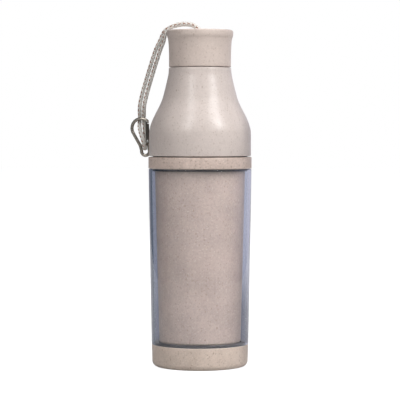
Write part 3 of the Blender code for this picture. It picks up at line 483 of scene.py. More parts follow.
@cache
def braid_tree():
    """Yarns that wind both ways round a path and pass over and under each other, a core and a tracer.

    The path's points carry the direction of the tracer's side as the attribute "side".
    """
    nodes, path, given, close = geometry_tree(
        "braided_cord",
        "pitch yarn_diameter yarn_spacing yarn_radius wave core_diameter tracer_diameter tracer_radius"
        " tracer_wave step",
        "yarns ends sides",
        "yarn core tracer",
    )
    line = nodes.add("GeometryNodeMeshToCurve", {"Mesh": path})
    fine = nodes.add("GeometryNodeResampleCurve", {"Curve": line, "Length": given.step}, mode="LENGTH")
    one_way = given.yarns * given.ends
    both_ways = one_way * 2
    copies, number = nodes.add(
        "GeometryNodeDuplicateElements", {"Geometry": fine, "Amount": both_ways + 2}, "Geometry",
        "Duplicate Index", domain="SPLINE",
    )

    wound = nodes.add("GeometryNodeSplineParameter", {}, "Length") / given.pitch * tau
    is_back = number > one_way - 0.5
    is_straight = number > both_ways - 0.5
    is_core = number > both_ways + 0.5
    is_wound = 1 - is_straight
    is_tracer = is_straight - is_core
    way = is_back * -2 + 1
    end = nodes.math("MODULO", number, given.ends) - (given.ends - 1) * 0.5
    yarn = nodes.math("FLOOR", number / given.ends)
    angle = wound * way + yarn / given.yarns * tau + end * (given.yarn_spacing / given.yarn_radius)
    wave = nodes.math("COSINE", wound * given.yarns)
    radius = given.yarn_radius + wave * way * given.wave
    turn = angle * is_wound
    out = is_tracer * (given.tracer_radius - wave * given.tracer_wave) + radius * is_wound
    side = nodes.add("GeometryNodeInputNamedAttribute", {"Name": "side"}, "Attribute", data_type="FLOAT_VECTOR")
    across = nodes.vector("CROSS_PRODUCT", nodes.add("GeometryNodeInputTangent"), side)
    offset = nodes.vector(
        "ADD",
        nodes.vector("SCALE", side, out * nodes.math("COSINE", turn)),
        nodes.vector("SCALE", across, out * nodes.math("SINE", turn)),
    )
    wound_yarns = nodes.add("GeometryNodeSetPosition", {"Geometry": copies, "Offset": offset})

    half = is_wound * given.yarn_diameter * 0.5 + is_tracer * (given.tracer_diameter * 0.5)
    half = half + is_core * (given.core_diameter * 0.5)
    inputs = {"Geometry": wound_yarns, "Name": "kind", "Value": is_straight + is_core}
    named = nodes.add("GeometryNodeStoreNamedAttribute", inputs, data_type="FLOAT", domain="POINT")
    ring = nodes.add("GeometryNodeCurvePrimitiveCircle", {"Resolution": given.sides, "Radius": 1.0}, "Curve")
    dressed = nodes.add(
        "GeometryNodeCurveToMesh", {"Curve": named, "Profile Curve": ring, "Scale": half, "Fill Caps": True}
    )
    kind = nodes.add("GeometryNodeInputNamedAttribute", {"Name": "kind"}, "Attribute", data_type="FLOAT")
    for finish, level in ((given.yarn, -0.5), (given.tracer, 0.5), (given.core, 1.5)):
        inputs = {"Geometry": dressed, "Selection": kind > level, "Material": finish}
        dressed = nodes.add("GeometryNodeSetMaterial", inputs)
    return close(dressed)


@cache
def rib_tree():
    """Flat ribs that stand in a ring, each along its own radius."""
    nodes, _, given, close = geometry_tree("ribs", "radius length thickness height middle_height", "count")
    ring = nodes.add("GeometryNodeMeshCircle", {"Vertices": given.count, "Radius": given.radius}, "Mesh")
    size = nodes.add("ShaderNodeCombineXYZ", {"X": given.length, "Y": given.thickness, "Z": given.height})
    rib = nodes.add("GeometryNodeMeshCube", {"Size": size}, "Mesh")
    place = nodes.add("GeometryNodeInputPosition")
    across, depth = nodes.add("ShaderNodeSeparateXYZ", {"Vector": place}, "X", "Y")
    facing = nodes.add("ShaderNodeCombineXYZ", {"Z": nodes.math("ARCTAN2", depth, across)})
    stood = nodes.add("GeometryNodeInstanceOnPoints", {"Points": ring, "Instance": rib, "Rotation": facing})
    up = nodes.add("ShaderNodeCombineXYZ", {"Z": given.middle_height})
    raised = nodes.add("GeometryNodeTransform", {"Geometry": stood, "Translation": up})
    real = nodes.add("GeometryNodeRealizeInstances", {"Geometry": raised})
    return close(nodes.add("GeometryNodeSetMaterial", {"Geometry": real, "Material": given.finish}))


# Finishes


def shader_tree(name):
    """A new material: (material, its nodes, its Principled shader)."""
    made = bpy.data.materials.new(name)
    made.use_nodes = True
    return made, Nodes(made.node_tree), made.node_tree.nodes["Principled BSDF"]


def finish_tree(name):
    """A new material with the place on the object that its patterns follow."""
    made, nodes, shader = shader_tree(name)
    return made, nodes, shader, nodes.add("ShaderNodeTexCoord", {}, "Object")


def dress(nodes, shader, height, strength, distance, inputs):
    """Sets the shader's inputs and the small relief of its skin."""
    bump = nodes.add("ShaderNodeBump", {"Strength": strength, "Distance": distance, "Height": height}, "Normal")
    nodes.feed(shader, {**inputs, "Normal": bump})


def scaled(tone, factor):
    return [min(1, c * factor) for c in tone]


def flecks(nodes, place, scale, stretch, kept_share, radius):
    """Scattered flecks: how much of one lies at each point. Only a share of the cells holds one."""
    drift = nodes.vector("SCALE", nodes.noise(place, scale, 1.0, "Color"), 0.5 / scale)
    bent = nodes.vector("ADD", place, drift)
    drawn = nodes.add("ShaderNodeMapping", {"Vector": bent, "Scale": stretch}, "Vector")
    colour, distance = nodes.add(
        "ShaderNodeTexVoronoi", {"Vector": drawn, "Scale": scale}, "Color", "Distance", feature="F1"
    )
    chance, size = nodes.add("ShaderNodeSeparateXYZ", {"Vector": colour}, "X", "Y")
    reach = nodes.ranged(size, 0.0, 1.0, 0.4 * radius, radius)
    return nodes.ranged(1 - distance / reach, 0.0, 0.35) * (chance < kept_share)


def speckled_plastic(name, tone, strength, roughness, grain_scale):
    """Moulded wheat straw plastic: a soft drift of tone, fine bran specks, a few flakes, a satin skin."""
    made, nodes, shader, place = finish_tree(name)
    drift, cloud = nodes.noise(place, 45, 3.0), nodes.noise(place, 260, 3.0)
    grain = nodes.noise(place, grain_scale, 2.0)
    low, high = scaled(tone, 1 - 0.13 * strength), scaled(tone, 1 + 0.10 * strength)
    mottle = nodes.ranged(drift, 0.35, 0.65) * 0.25 + grain * 0.75
    colour = nodes.blend(nodes.ranged(mottle, 0.28, 0.72), low, high)
    colour = nodes.blend(nodes.ranged(cloud, 0.5, 0.75, 0, 0.12 * strength), colour, BRAN)
    scattered = [flecks(nodes, place, *kind[:4]) for kind in FLECKS]
    for laid, kind in zip(scattered, FLECKS):
        colour = nodes.blend(laid * (kind[4] * strength), colour, kind[5])
    satin = nodes.ranged(cloud, 0.3, 0.7, roughness - 0.05, roughness + 0.05)
    skin = scattered[0] * -0.3 + grain
    dress(nodes, shader, skin, 0.25, 0.00004, {"Base Color": colour, "Roughness": satin})
    return made


def plain_plastic(name, tone, roughness):
    """Plain moulded plastic with a faint grain."""
    made, nodes, shader, place = finish_tree(name)
    colour = nodes.blend(nodes.noise(place, 90, 3.0), scaled(tone, 0.94), tone)
    grain = nodes.noise(place, 1800, 2.0)
    satin = nodes.ranged(grain, 0.3, 0.7, roughness - 0.06, roughness + 0.06)
    dress(nodes, shader, grain, 0.2, 0.00003, {"Base Color": colour, "Roughness": satin})
    return made


def clear_plastic():
    """Polished clear plastic with a blue-grey cast that deepens with its thickness. Lamps shine through."""
    made, nodes, shader, place = finish_tree("clear_plastic")
    polish = {"Base Color": (0.93, 0.95, 0.98), "Roughness": 0.02, "IOR": 1.49, "Transmission Weight": 1.0}
    dress(nodes, shader, nodes.noise(place, 70, 1.0), 0.05, 0.0001, polish)
    is_shadow = nodes.add("ShaderNodeLightPath", {}, "Is Shadow Ray")
    open_way = nodes.add("ShaderNodeBsdfTransparent", {"Color": (0.945, 0.95, 0.96)})
    dye = nodes.add("ShaderNodeVolumeAbsorption", {"Color": (0.42, 0.44, 0.50), "Density": 26})
    result = nodes.tree.nodes["Material Output"]
    nodes.feed(result, {"Surface": nodes.either(is_shadow, shader, open_way), "Volume": dye})
    return made


def rubber():
    """Dark sealing rubber, a little dusty."""
    made, nodes, shader, place = finish_tree("seal_rubber")
    dust = nodes.noise(place, 500, 4.0)
    colour = nodes.blend(nodes.ranged(dust, 0.4, 0.8), (0.030, 0.026, 0.028), (0.075, 0.066, 0.066))
    matt = nodes.ranged(dust, 0.3, 0.7, 0.5, 0.7)
    dress(nodes, shader, dust, 0.3, 0.00005, {"Base Color": colour, "Roughness": matt})
    return made


def yarn_fibre(name, tone, painted_furrow_shade):
    """Spun yarn: fine fibres with shade painted into the furrows of their relief, and a soft sheen."""
    made, nodes, shader, place = finish_tree(name)
    fibre, patch = nodes.noise(place, 6500, 3.0), nodes.noise(place, 420, 3.0)
    # Painted shade: the colour darkens to the shade tone where the fibre relief is low
    fibres_with_painted_shade = nodes.blend(nodes.ranged(fibre, 0.35, 0.62), painted_furrow_shade, tone)
    colour = nodes.blend(nodes.ranged(patch, 0.5, 0.8, 0, 0.6), fibres_with_painted_shade, scaled(tone, 0.8))
    sheen = {"Roughness": 0.85, "Sheen Weight": 0.25, "Sheen Roughness": 0.5}
    dress(nodes, shader, fibre, 0.5, 0.00008, {"Base Color": colour, **sheen})
    return made


def plated_metal(name, tone, roughness, wear):
    """Plated or plain steel with fine rubbing marks."""
    made, nodes, shader, place = finish_tree(name)
    rub = nodes.noise(place, 900, 4.0)
    colour = nodes.blend(nodes.ranged(rub, 0.55, 0.8, 0, wear), tone, scaled(tone, 1.35))
    shine = nodes.ranged(rub, 0.3, 0.7, roughness - 0.06, roughness + 0.08)
    dress(nodes, shader, rub, 0.1, 0.00002, {"Base Color": colour, "Metallic": 1.0, "Roughness": shine})
    return made


# Outlines and meshes


def placed(name, data):
    """A new object in the scene."""
    made = bpy.data.objects.new(name, data)
    bpy.context.scene.collection.objects.link(made)
    return made


def tangent(line, i):
    """The direction of the line at its point number i."""
    return (line[min(i + 1, len(line) - 1)] - line[max(i - 1, 0)]).normalized()


def square_to(along, vector):
    """What is left of the vector when its part along a direction is taken away."""
    return vector - along * vector.dot(along)


def rounded(corners, closed=False):
    """The corners (radius, height, fillet) as points, with each fillet drawn as an arc."""
    points = []
    for i, (radius, height, fillet) in enumerate(corners):
        corner = Vector((radius, height))
        is_end = not closed and i in (0, len(corners) - 1)
        if is_end or fillet == 0:
            points.append(corner)
            continue
        before = Vector(corners[i - 1][:2]) - corner
        after = Vector(corners[(i + 1) % len(corners)][:2]) - corner
        half = before.angle(after) / 2
        reach = min(fillet / tan(half), FILLET_SHARE * before.length, FILLET_SHARE * after.length)
        size = reach * tan(half)
        centre = corner + (before.normalized() + after.normalized()).normalized() * (size / sin(half))
        start = corner + before.normalized() * reach - centre
        sweep = (corner + after.normalized() * reach - centre).angle_signed(start)
        steps = max(3, round(size * abs(sweep) / FACET_LENGTH))
        points += [centre + Matrix.Rotation(sweep * k / steps, 2) @ start for k in range(steps + 1)]
    return points


def smooth_line(knots, steps_between):
    """Points of a Catmull-Rom curve through the knots."""
    line = []
    padded = [2 * knots[0] - knots[1], *knots, 2 * knots[-1] - knots[-2]]
    for a, b, c, d in zip(padded, padded[1:], padded[2:], padded[3:]):
        for t in (k / steps_between for k in range(steps_between)):
            squared, cubed = 2 * a - 5 * b + 4 * c - d, 3 * b - a - 3 * c + d
            line.append(0.5 * (2 * b + (c - a) * t + squared * t**2 + cubed * t**3))
    return [*line, knots[-1].copy()]


def through_shares(shares, start, end):
    """A smooth curve through pairs of shares, from start to end, both (radius, height)."""
    smooth = smooth_line([Vector((*pair, 0)) for pair in shares], SHARES_STEPS)
    return [Vector((start[0] + (end[0] - start[0]) * p.y, start[1] + (end[1] - start[1]) * p.x)) for p in smooth]


def inset(points, distance):
    """The line of (radius, height) points that runs top to bottom, moved in by a wall's thickness."""
    ways = [tangent(points, i) for i in range(len(points))]
    return [point + Vector((way.y, -way.x)) * distance for point, way in zip(points, ways)]


def evaluated(thing):
    """The object's mesh with its modifiers applied and its place in its vertices."""
    bpy.context.view_layer.update()
    depsgraph = bpy.context.evaluated_depsgraph_get()
    mesh = bpy.data.meshes.new_from_object(thing.evaluated_get(depsgraph), depsgraph=depsgraph)
    mesh.transform(thing.matrix_world)
    return mesh


def grown(name, tree, source=None, **sizes):
    """The plain mesh that a node tree makes with these sizes, from the source mesh if it takes one."""
    maker = placed(name + "_maker", source or bpy.data.meshes.new(name))
    modifier = maker.modifiers.new("maker", "NODES")
    modifier.node_group = tree
    for item in tree.interface.items_tree:
        if item.in_out == "INPUT" and item.name in sizes:
            modifier[item.identifier] = sizes[item.name]
    mesh = evaluated(maker)
    bpy.data.objects.remove(maker, do_unlink=True)
    return mesh


def tidied(mesh, outward=False):
    """Merges doubles, turns the faces outward where asked, and shades it smooth up to its sharp edges."""
    work = bmesh.new()
    work.from_mesh(mesh)
    bmesh.ops.remove_doubles(work, verts=work.verts, dist=MERGE)
    if outward:
        bmesh.ops.recalc_face_normals(work, faces=work.faces)
    work.to_mesh(mesh)
    work.free()
    mesh.shade_smooth()
    mesh.set_sharp_from_angle(angle=SHARP_ANGLE)
    return mesh


def line_mesh(name, points):
    """A mesh of single edges through the points, in order."""
    mesh = bpy.data.meshes.new(name)
    mesh.from_pydata(points, [(i, i + 1) for i in range(len(points) - 1)], [])
    return mesh


def turned(name, outline, finish, steps=TURN_STEPS):
    """The outline turned round Z. It runs down the outer side, and is closed unless it ends on the axis."""
    points = [(p.x, 0, p.y) for p in outline]
    if outline[0].x > MERGE:
        points.append(points[0])
    return tidied(grown(name, turning_tree(), line_mesh(name, points), steps=steps, finish=finish))


def helix(name, finish, turns, steps=FINE_STEPS, **sizes):
    """A thread or coil, as a closed mesh."""
    sizes = {"taper_share": THREAD_TAPER_SHARE, "sides": THREAD_SIDES, **sizes}
    steps = round(steps * turns)
    return tidied(grown(name, helix_tree(), turns=turns, steps=steps, finish=finish, **sizes), outward=True)


def show(name, mesh, body, *nodes, slot="speckled_plastic"):
    """The mesh as a piece that rides on a body and stands for CAD nodes."""
    mesh.name = name
    made = placed(name, mesh)
    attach(made, body)
    if nodes:
        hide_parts(*nodes)
    return made


def show_turned(name, body, node, outline, finish, **slot):
    return show(name, turned(node, outline, finish), body, node, **slot)


def show_thread(name, body, kind, radius, start, angle, finish, **slot):
    mesh = helix(name, finish, radius=radius, start_height=start, start_angle=angle, **kind)
    return show(name, mesh, body, **slot)


# Bottle body


def groove(sleeve_radius):
    """Inner and outer radius of the groove that takes a tongue of the sleeve."""
    tongue_inner = sleeve_radius - SLEEVE_WALL
    return tongue_inner - CLEARANCE, tongue_inner + TONGUE_THICKNESS + CLEARANCE


def base_outline():
    """The base's section, from its floor out over the rim and in again under the foot."""
    foot_inner = BASE_RADIUS - BASE_FILLET - FOOT_RING_WIDTH
    floor_top = FOOT_RECESS + BASE_FLOOR
    wall_inner = BASE_RADIUS - BASE_WALL
    ledge_inner = CUP_BOTTOM_RADIUS + CLEARANCE
    ledge_bottom = BASE_HEIGHT - LEDGE_DEPTH
    groove_inner, groove_outer = groove(SLEEVE_BOTTOM_RADIUS)
    groove_floor = BASE_HEIGHT - TONGUE_LENGTH
    ring_top = CUP_BOTTOM - CLEARANCE
    ring_inner = SUPPORT_RING_RADIUS - SUPPORT_RING_WALL
    return rounded(
        [
            (0, floor_top, 0), (ring_inner, floor_top, EDGE_FILLET), (ring_inner, ring_top, SMALL_FILLET),
            (SUPPORT_RING_RADIUS, ring_top, SMALL_FILLET), (SUPPORT_RING_RADIUS, floor_top, EDGE_FILLET),
            (wall_inner - BASE_FLOOR, floor_top, EDGE_FILLET), (wall_inner, floor_top + BASE_FLOOR, EDGE_FILLET),
            (wall_inner, ledge_bottom - (wall_inner - ledge_inner), EDGE_FILLET), (ledge_inner, ledge_bottom, 0),
            (ledge_inner, BASE_HEIGHT, SMALL_FILLET), (groove_inner, BASE_HEIGHT, SMALL_FILLET),
            (groove_inner, groove_floor, 0), (groove_outer, groove_floor, 0),
            (groove_outer, BASE_HEIGHT, SMALL_FILLET), (BASE_RADIUS, BASE_HEIGHT, EDGE_FILLET),
            (BASE_RADIUS - BASE_TAPER, 0, BASE_FILLET), (foot_inner, 0, EDGE_FILLET),
            (foot_inner - FOOT_RECESS, FOOT_RECESS, EDGE_FILLET), (0, FOOT_RECESS, 0),
        ]
    )


def build_base(finish):
    """The base with its foot and support ring, and the ribs that stand between its walls."""
    show_turned("base_cup_shell", "bottle", "base_cup", base_outline(), finish)
    inside = SUPPORT_RING_RADIUS - SUPPORT_RING_WALL / 2
    outside = BASE_RADIUS - BASE_WALL / 2
    height = RIB_HEIGHT + BASE_FLOOR / 2
    ribs = grown(
        "base_ribs", rib_tree(), count=RIB_COUNT, radius=(inside + outside) / 2, length=outside - inside,
        thickness=RIB_THICKNESS, height=height, middle_height=FOOT_RECESS + (BASE_FLOOR + height) / 2,
        finish=finish,
    )
    show("base_ribs", ribs, "bottle")


def build_sleeve(finish):
    """The clear wall, with its tongues and softened edges."""
    top_inner = SLEEVE_TOP_RADIUS - SLEEVE_WALL
    bottom_inner = SLEEVE_BOTTOM_RADIUS - SLEEVE_WALL
    top_tongue = top_inner + TONGUE_THICKNESS
    bottom_tongue = bottom_inner + TONGUE_THICKNESS
    highest = SLEEVE_TOP + TONGUE_LENGTH
    lowest = SLEEVE_BOTTOM - TONGUE_LENGTH
    slope = SLEEVE_HOLD * (SLEEVE_TOP_RADIUS - SLEEVE_BOTTOM_RADIUS) / SLEEVE_HEIGHT
    outline = rounded(
        [
            (top_tongue, highest, SMALL_FILLET), (top_tongue, SLEEVE_TOP, 0),
            (SLEEVE_TOP_RADIUS, SLEEVE_TOP, SMALL_FILLET),
            (SLEEVE_TOP_RADIUS - slope, SLEEVE_TOP - SLEEVE_HOLD, 0),
            (SLEEVE_BOTTOM_RADIUS + slope, SLEEVE_BOTTOM + SLEEVE_HOLD, 0),
            (SLEEVE_BOTTOM_RADIUS, SLEEVE_BOTTOM, SMALL_FILLET), (bottom_tongue, SLEEVE_BOTTOM, 0),
            (bottom_tongue, lowest, SMALL_FILLET), (bottom_inner, lowest, SMALL_FILLET),
            (bottom_inner, SLEEVE_BOTTOM, 0), (top_inner, SLEEVE_TOP, 0), (top_inner, highest, SMALL_FILLET),
        ],
        closed=True,
    )
    wall = turned("clear_wall", outline, finish, SLEEVE_STEPS)
    show("clear_wall", wall, "bottle", "clear_sleeve", slot="clear_wall")


def build_inner_cup(finish):
    """The cup that holds the drink, with the thread for the shoulder in its rim."""
    floor_top = CUP_BOTTOM + CUP_FLOOR
    relief_bottom = PLUG_BOTTOM + CLEARANCE
    relief = CUP_RIM_INNER + THREAD_RELIEF
    low_share = (relief_bottom - CUP_BOTTOM) / (COLLAR_BOTTOM - CUP_BOTTOM)
    cone_low = CUP_BOTTOM_RADIUS - CUP_WALL + (CUP_TOP_RADIUS - CUP_BOTTOM_RADIUS) * low_share
    outline = rounded(
        [
            (0, floor_top, 0), (CUP_BOTTOM_RADIUS - CUP_WALL, floor_top, CUP_FILLET),
            (cone_low, relief_bottom, 0), (relief, relief_bottom + THREAD_RELIEF, 0),
            (relief, FLANGE_BOTTOM - THREAD_RELIEF, 0), (CUP_RIM_INNER, FLANGE_BOTTOM, 0),
            (CUP_RIM_INNER, CUP_TOP, SMALL_FILLET), (SEAL_SEAT_OUTER, CUP_TOP, SMALL_FILLET),
            (SEAL_SEAT_OUTER, FLANGE_BOTTOM, 0), (CUP_TOP_RADIUS, FLANGE_BOTTOM, 0),
            (CUP_TOP_RADIUS, COLLAR_BOTTOM, 0), (CUP_BOTTOM_RADIUS, CUP_BOTTOM, CUP_FILLET), (0, CUP_BOTTOM, 0),
        ]
    )
    show_turned("inner_cup_wall", "bottle", "inner_cup", outline, finish)
    start = PLUG_BOTTOM + SHOULDER_THREAD_RISE
    show_thread("cup_thread", "bottle", SHOULDER_THREAD, relief, start, pi, finish)


def build_collar(finish):
    """The ring that joins sleeve and inner cup."""
    groove_inner, groove_outer = groove(SLEEVE_TOP_RADIUS)
    groove_top = COLLAR_BOTTOM + TONGUE_LENGTH
    rebate = FLANGE_BOTTOM - CLEARANCE
    bore = CUP_TOP_RADIUS + CLEARANCE
    rebate_outer = SEAL_SEAT_OUTER + CLEARANCE
    outline = rounded(
        [
            (COLLAR_RADIUS, COLLAR_TOP, EDGE_FILLET), (COLLAR_RADIUS, COLLAR_BOTTOM, EDGE_FILLET),
            (groove_outer, COLLAR_BOTTOM, 0), (groove_outer, groove_top, 0), (groove_inner, groove_top, 0),
            (groove_inner, COLLAR_BOTTOM, 0), (bore, COLLAR_BOTTOM, 0), (bore, rebate, 0),
            (rebate_outer, rebate, 0), (rebate_outer, COLLAR_TOP, SMALL_FILLET),
        ],
        closed=True,
    )
    show_turned("collar_band", "bottle", "collar_ring", outline, finish)


def build_seals(finish):
    """The four sealing rings: node, body, inner and outer radius, bottom and height."""
    for node, body, inner, outer, bottom, height in (
        ("base_gasket", "bottle", CUP_BOTTOM_RADIUS + CLEARANCE, SLEEVE_BOTTOM_RADIUS - SLEEVE_WALL - CLEARANCE,
         SLEEVE_BOTTOM, BASE_SEAL_HEIGHT),
        # The upper ring is a real seal; its dark rubber also stands in as painted shadow of the collar on the
        # clear wall
        ("sleeve_gasket", "bottle", CUP_TOP_RADIUS + CLEARANCE, SLEEVE_TOP_RADIUS - SLEEVE_WALL - 2 * CLEARANCE,
         COLLAR_BOTTOM - CLEARANCE - SEAL_HEIGHT, SEAL_HEIGHT),
        ("shoulder_gasket", "shoulder_seal", PLUG_OUTER + CLEARANCE, SEAL_SEAT_OUTER - CLEARANCE,
         CUP_TOP + CLEARANCE, SEAL_HEIGHT),
        ("cap_gasket", "cap_seal", NECK_BORE - CLEARANCE, LINER_INNER - CLEARANCE, NECK_TOP + CLEARANCE,
         SEAL_HEIGHT),
    ):
        top = bottom + height
        corners = ((outer, top), (outer, bottom), (inner, bottom), (inner, top))
        outline = rounded([(*corner, SEAL_FILLET) for corner in corners], closed=True)
        show_turned(node + "_ring", body, node, outline, finish, slot="seal")


# Shoulder and cap


def build_shoulder(finish):
    """The bell with its neck and its plug skirt, and the threads on both."""
    bell = through_shares(BELL_SHARES, (SHOULDER_NECK_RADIUS, BELL_TOP), (SHOULDER_RADIUS, BELL_BOTTOM))
    recess_top = CUP_TOP + SEAL_HEIGHT + 2 * CLEARANCE
    plug_inner = PLUG_OUTER - PLUG_WALL
    inner_radius = SHOULDER_RADIUS - SHOULDER_WALL
    funnel_top = recess_top + inner_radius - plug_inner
    land_bottom = BELL_TOP - SHOULDER_WALL
    relief = PLUG_OUTER - THREAD_RELIEF
    relief_bottom = PLUG_BOTTOM + 2 * THREAD_RELIEF
    top = rounded(
        [
            (NECK_BORE, NECK_TOP, 0), (NECK_RADIUS, NECK_TOP, EDGE_FILLET), (NECK_RADIUS, BELL_TOP, EDGE_FILLET),
            (SHOULDER_NECK_RADIUS, BELL_TOP, EDGE_FILLET), (*bell[3], 0),
        ]
    )
    bottom = rounded(
        [
            (*bell[-1], 0), (SHOULDER_RADIUS, SHOULDER_BOTTOM, EDGE_FILLET),
            (SEAL_SEAT_OUTER, SHOULDER_BOTTOM, SMALL_FILLET), (SEAL_SEAT_OUTER, recess_top, 0),
            (PLUG_OUTER, recess_top, 0), (PLUG_OUTER, FLANGE_BOTTOM, 0),
            (relief, FLANGE_BOTTOM - THREAD_RELIEF, 0), (relief, relief_bottom + THREAD_RELIEF, 0),
            (PLUG_OUTER, relief_bottom, 0), (PLUG_OUTER, PLUG_BOTTOM, SEAL_FILLET),
            (plug_inner, PLUG_BOTTOM, SMALL_FILLET), (plug_inner, recess_top, EDGE_FILLET),
            (inner_radius, funnel_top, 0),
        ]
    )
    inside = [p for p in reversed(inset(bell, SHOULDER_WALL)) if funnel_top < p.y < land_bottom - EDGE_FILLET]
    land = [Vector((inside[-1].x, land_bottom)), Vector((NECK_BORE, land_bottom))]
    outline = top[:-1] + bell[3:-1] + bottom + inside + land
    show_turned("shoulder_bell", "shoulder", "shoulder_shell", outline, finish)
    neck_start, plug_start = BELL_TOP + CAP_THREAD_RISE, PLUG_BOTTOM + SHOULDER_THREAD_RISE
    show_thread("neck_thread", "shoulder", CAP_THREAD, NECK_RADIUS, neck_start, 0, finish)
    show_thread("plug_thread", "shoulder", SHOULDER_THREAD, relief, plug_start, 0, finish)


def slot_cutter():
    """A stadium-shaped cutter that flares at both faces of the dish floor, which softens the slot's edges."""
    width = CORD_DIAMETER / 2 + SLOT_ROOM
    wide = width + 2 * SLOT_CHAMFER
    points, rings = [], []
    for height, radius in (
        (DISH_FLOOR_BOTTOM - SLOT_CHAMFER, wide), (DISH_FLOOR_BOTTOM + SLOT_CHAMFER, width),
        (DISH_FLOOR_TOP - SLOT_CHAMFER, width), (DISH_FLOOR_TOP + SLOT_CHAMFER, wide),
    ):
        rings.append(list(range(len(points), len(points) + FINE_STEPS)))
        for angle in (tau * (k + 0.5) / FINE_STEPS for k in range(FINE_STEPS)):
            shift = SLOT_STRAND_SPACING / 2 * (1 if sin(angle) > 0 else -1)
            points.append((STRAP_EXIT_OFFSET + radius * cos(angle), shift + radius * sin(angle), height))
    faces = [rings[0][::-1], rings[-1]]
    for low, high in zip(rings, rings[1:]):
        faces += [(low[k - 1], low[k], high[k], high[k - 1]) for k in range(FINE_STEPS)]
    mesh = bpy.data.meshes.new("slot_cutter")
    mesh.from_pydata(points, [], faces)
    mesh.transform(strap_turn())
    return placed("slot_cutter", mesh)


def combined(blank, operation, tools):
    """The mesh of the blank with the tools joined to it or taken out of it. All the objects are used up."""
    for tool in tools:
        change = blank.modifiers.new(tool.name, "BOOLEAN")
        change.operation, change.solver, change.object = operation, "EXACT", tool
    made = evaluated(blank)
    for used in (blank, *tools):
        bpy.data.objects.remove(used, do_unlink=True)
    return made


def build_cap(finish, insert):
    """The cap's shell with its dish and slot, and the threaded liner inside it."""
    flare = through_shares(CAP_FLARE_SHARES, (CAP_WAIST_RADIUS, CAP_BOTTOM), (CAP_RIM_RADIUS, CAP_TOP))
    inner = CAP_WAIST_RADIUS - CAP_WALL
    lip = rounded(
        [
            (0, DISH_FLOOR_TOP, 0), (CAP_DISH_RADIUS - CAP_DISH_FILLET, DISH_FLOOR_TOP, CAP_DISH_FILLET),
            (CAP_DISH_RADIUS, CAP_TOP, EDGE_FILLET), (CAP_RIM_RADIUS, CAP_TOP, CAP_LIP_FILLET), (*flare[-1], 0),
        ]
    )
    inside = rounded(
        [
            (*flare[1], 0), (CAP_WAIST_RADIUS, CAP_BOTTOM, EDGE_FILLET), (inner, CAP_BOTTOM, SMALL_FILLET),
            (inner, DISH_FLOOR_BOTTOM, EDGE_FILLET), (0, DISH_FLOOR_BOTTOM, 0),
        ]
    )
    side = [p for p in reversed(flare[1:-1]) if p.y < lip[-2].y]
    shell = placed("shell", turned("cap_shell", lip[:-1] + side + inside[1:], finish))
    shell = tidied(combined(shell, "DIFFERENCE", [slot_cutter()]))
    show("cap_body", shell, "cap", "cap_shell")
    liner_bottom = CAP_BOTTOM + CLEARANCE
    liner = rounded(
        [
            (0, LINER_HEIGHT_TOP, 0), (LINER_OUTER, LINER_HEIGHT_TOP, EDGE_FILLET),
            (LINER_OUTER, liner_bottom, SMALL_FILLET), (LINER_INNER, liner_bottom, SMALL_FILLET),
            (LINER_INNER, LINER_UNDERSIDE, EDGE_FILLET), (0, LINER_UNDERSIDE, 0),
        ]
    )
    show_turned("cap_insert", "cap", "cap_liner", liner, insert, slot="insert")
    start = BELL_TOP + CAP_THREAD_RISE
    show_thread("liner_thread", "cap", CAP_THREAD, LINER_INNER, start, pi, insert, slot="insert")


# Strap, in its own frame before strap_turn() turns it about Z


def strap_turn():
    return Matrix.Rotation(STRAP_TURN, 4, "Z")


def strand(side):
    """One strand of the pair, from the knot down: side -1 is in front on the cap and inside below it."""
    route = [Vector((-out, 0, height)) for out, height, _ in PAIR_ROUTE]
    back = Vector((0, 1, 0))
    points = []
    for i, centre in enumerate(route):
        turned_by = radians(PAIR_ROUTE[i][2])
        spacing = SLOT_STRAND_SPACING if i < SLOT_POINTS else CORD_DIAMETER + CORD_PAIR_GAP
        offset = back * cos(turned_by) + back.cross(tangent(route, i)) * sin(turned_by)
        points.append(centre + offset * side * spacing / 2)
    return points


def evenly(line, step):
    """The points of a fine line about a step apart."""
    kept, run = [line[0]], 0
    for a, b in zip(line, line[1:]):
        run += (b - a).length
        if run >= step:
            kept.append(b)
            run = 0
    if (line[-1] - kept[-1]).length < step / 2:
        kept.pop()
    return [*kept, line[-1]]


def cord_line():
    """The whole cord: down one strand, round the crossbar, and up the other."""
    lean = Matrix.Rotation(CARABINER_LEAN, 3, "Y")
    eye = Vector((-CARABINER_OUT, 0, CARABINER_HEIGHT))
    bight = [lean @ Vector((across, depth, up)) + eye for across, up, depth in BIGHT_ROUTE]
    return evenly(smooth_line(strand(1) + bight + strand(-1)[::-1], CURVE_STEPS), CORD_PATH_STEP)


def tracer_sides(line):
    """For each point of the cord, the direction in which its tracer lies: outside the bend, a little forward."""
    sides = []
    for i, point in enumerate(line):
        along = tangent(line, i)
        outward = point - Vector(BEND_CENTRE)
        outward.y = 0
        outward = square_to(along, outward).normalized()
        forward = square_to(along, Vector((0, -1, 0)))
        side = outward * cos(TRACER_TURN) + forward * sin(TRACER_TURN)
        sides.append(square_to(along, side).normalized())
    return sides


def knot_line():
    """A stopper knot's path: a trefoil, flattened between the dish and the liner."""
    low = LINER_HEIGHT_TOP + CLEARANCE + CORD_DIAMETER / 2
    high = DISH_FLOOR_BOTTOM - CLEARANCE - CORD_DIAMETER / 2
    line = []
    for angle in (tau * k / (FINE_STEPS * 2) for k in range(FINE_STEPS * 2 + 1)):
        across = (sin(angle) + 2 * sin(2 * angle)) / 3 * (KNOT_WIDTH - CORD_DIAMETER) / 2
        along = (cos(angle) - 2 * cos(2 * angle)) / 3 * (KNOT_LENGTH - CORD_DIAMETER) / 2
        height = (low + high) / 2 - sin(3 * angle) * (high - low) / 2
        line.append(Vector((STRAP_EXIT_OFFSET + across, along, height)))
    return line


def knot_sides(line):
    """For each point of the closed knot, the direction in which its tracer lies: upwards."""
    ways = [(line[(i + 1) % len(line)] - line[i - 1]).normalized() for i in range(len(line))]
    return [square_to(way, Vector((0, 0, 1))).normalized() for way in ways]


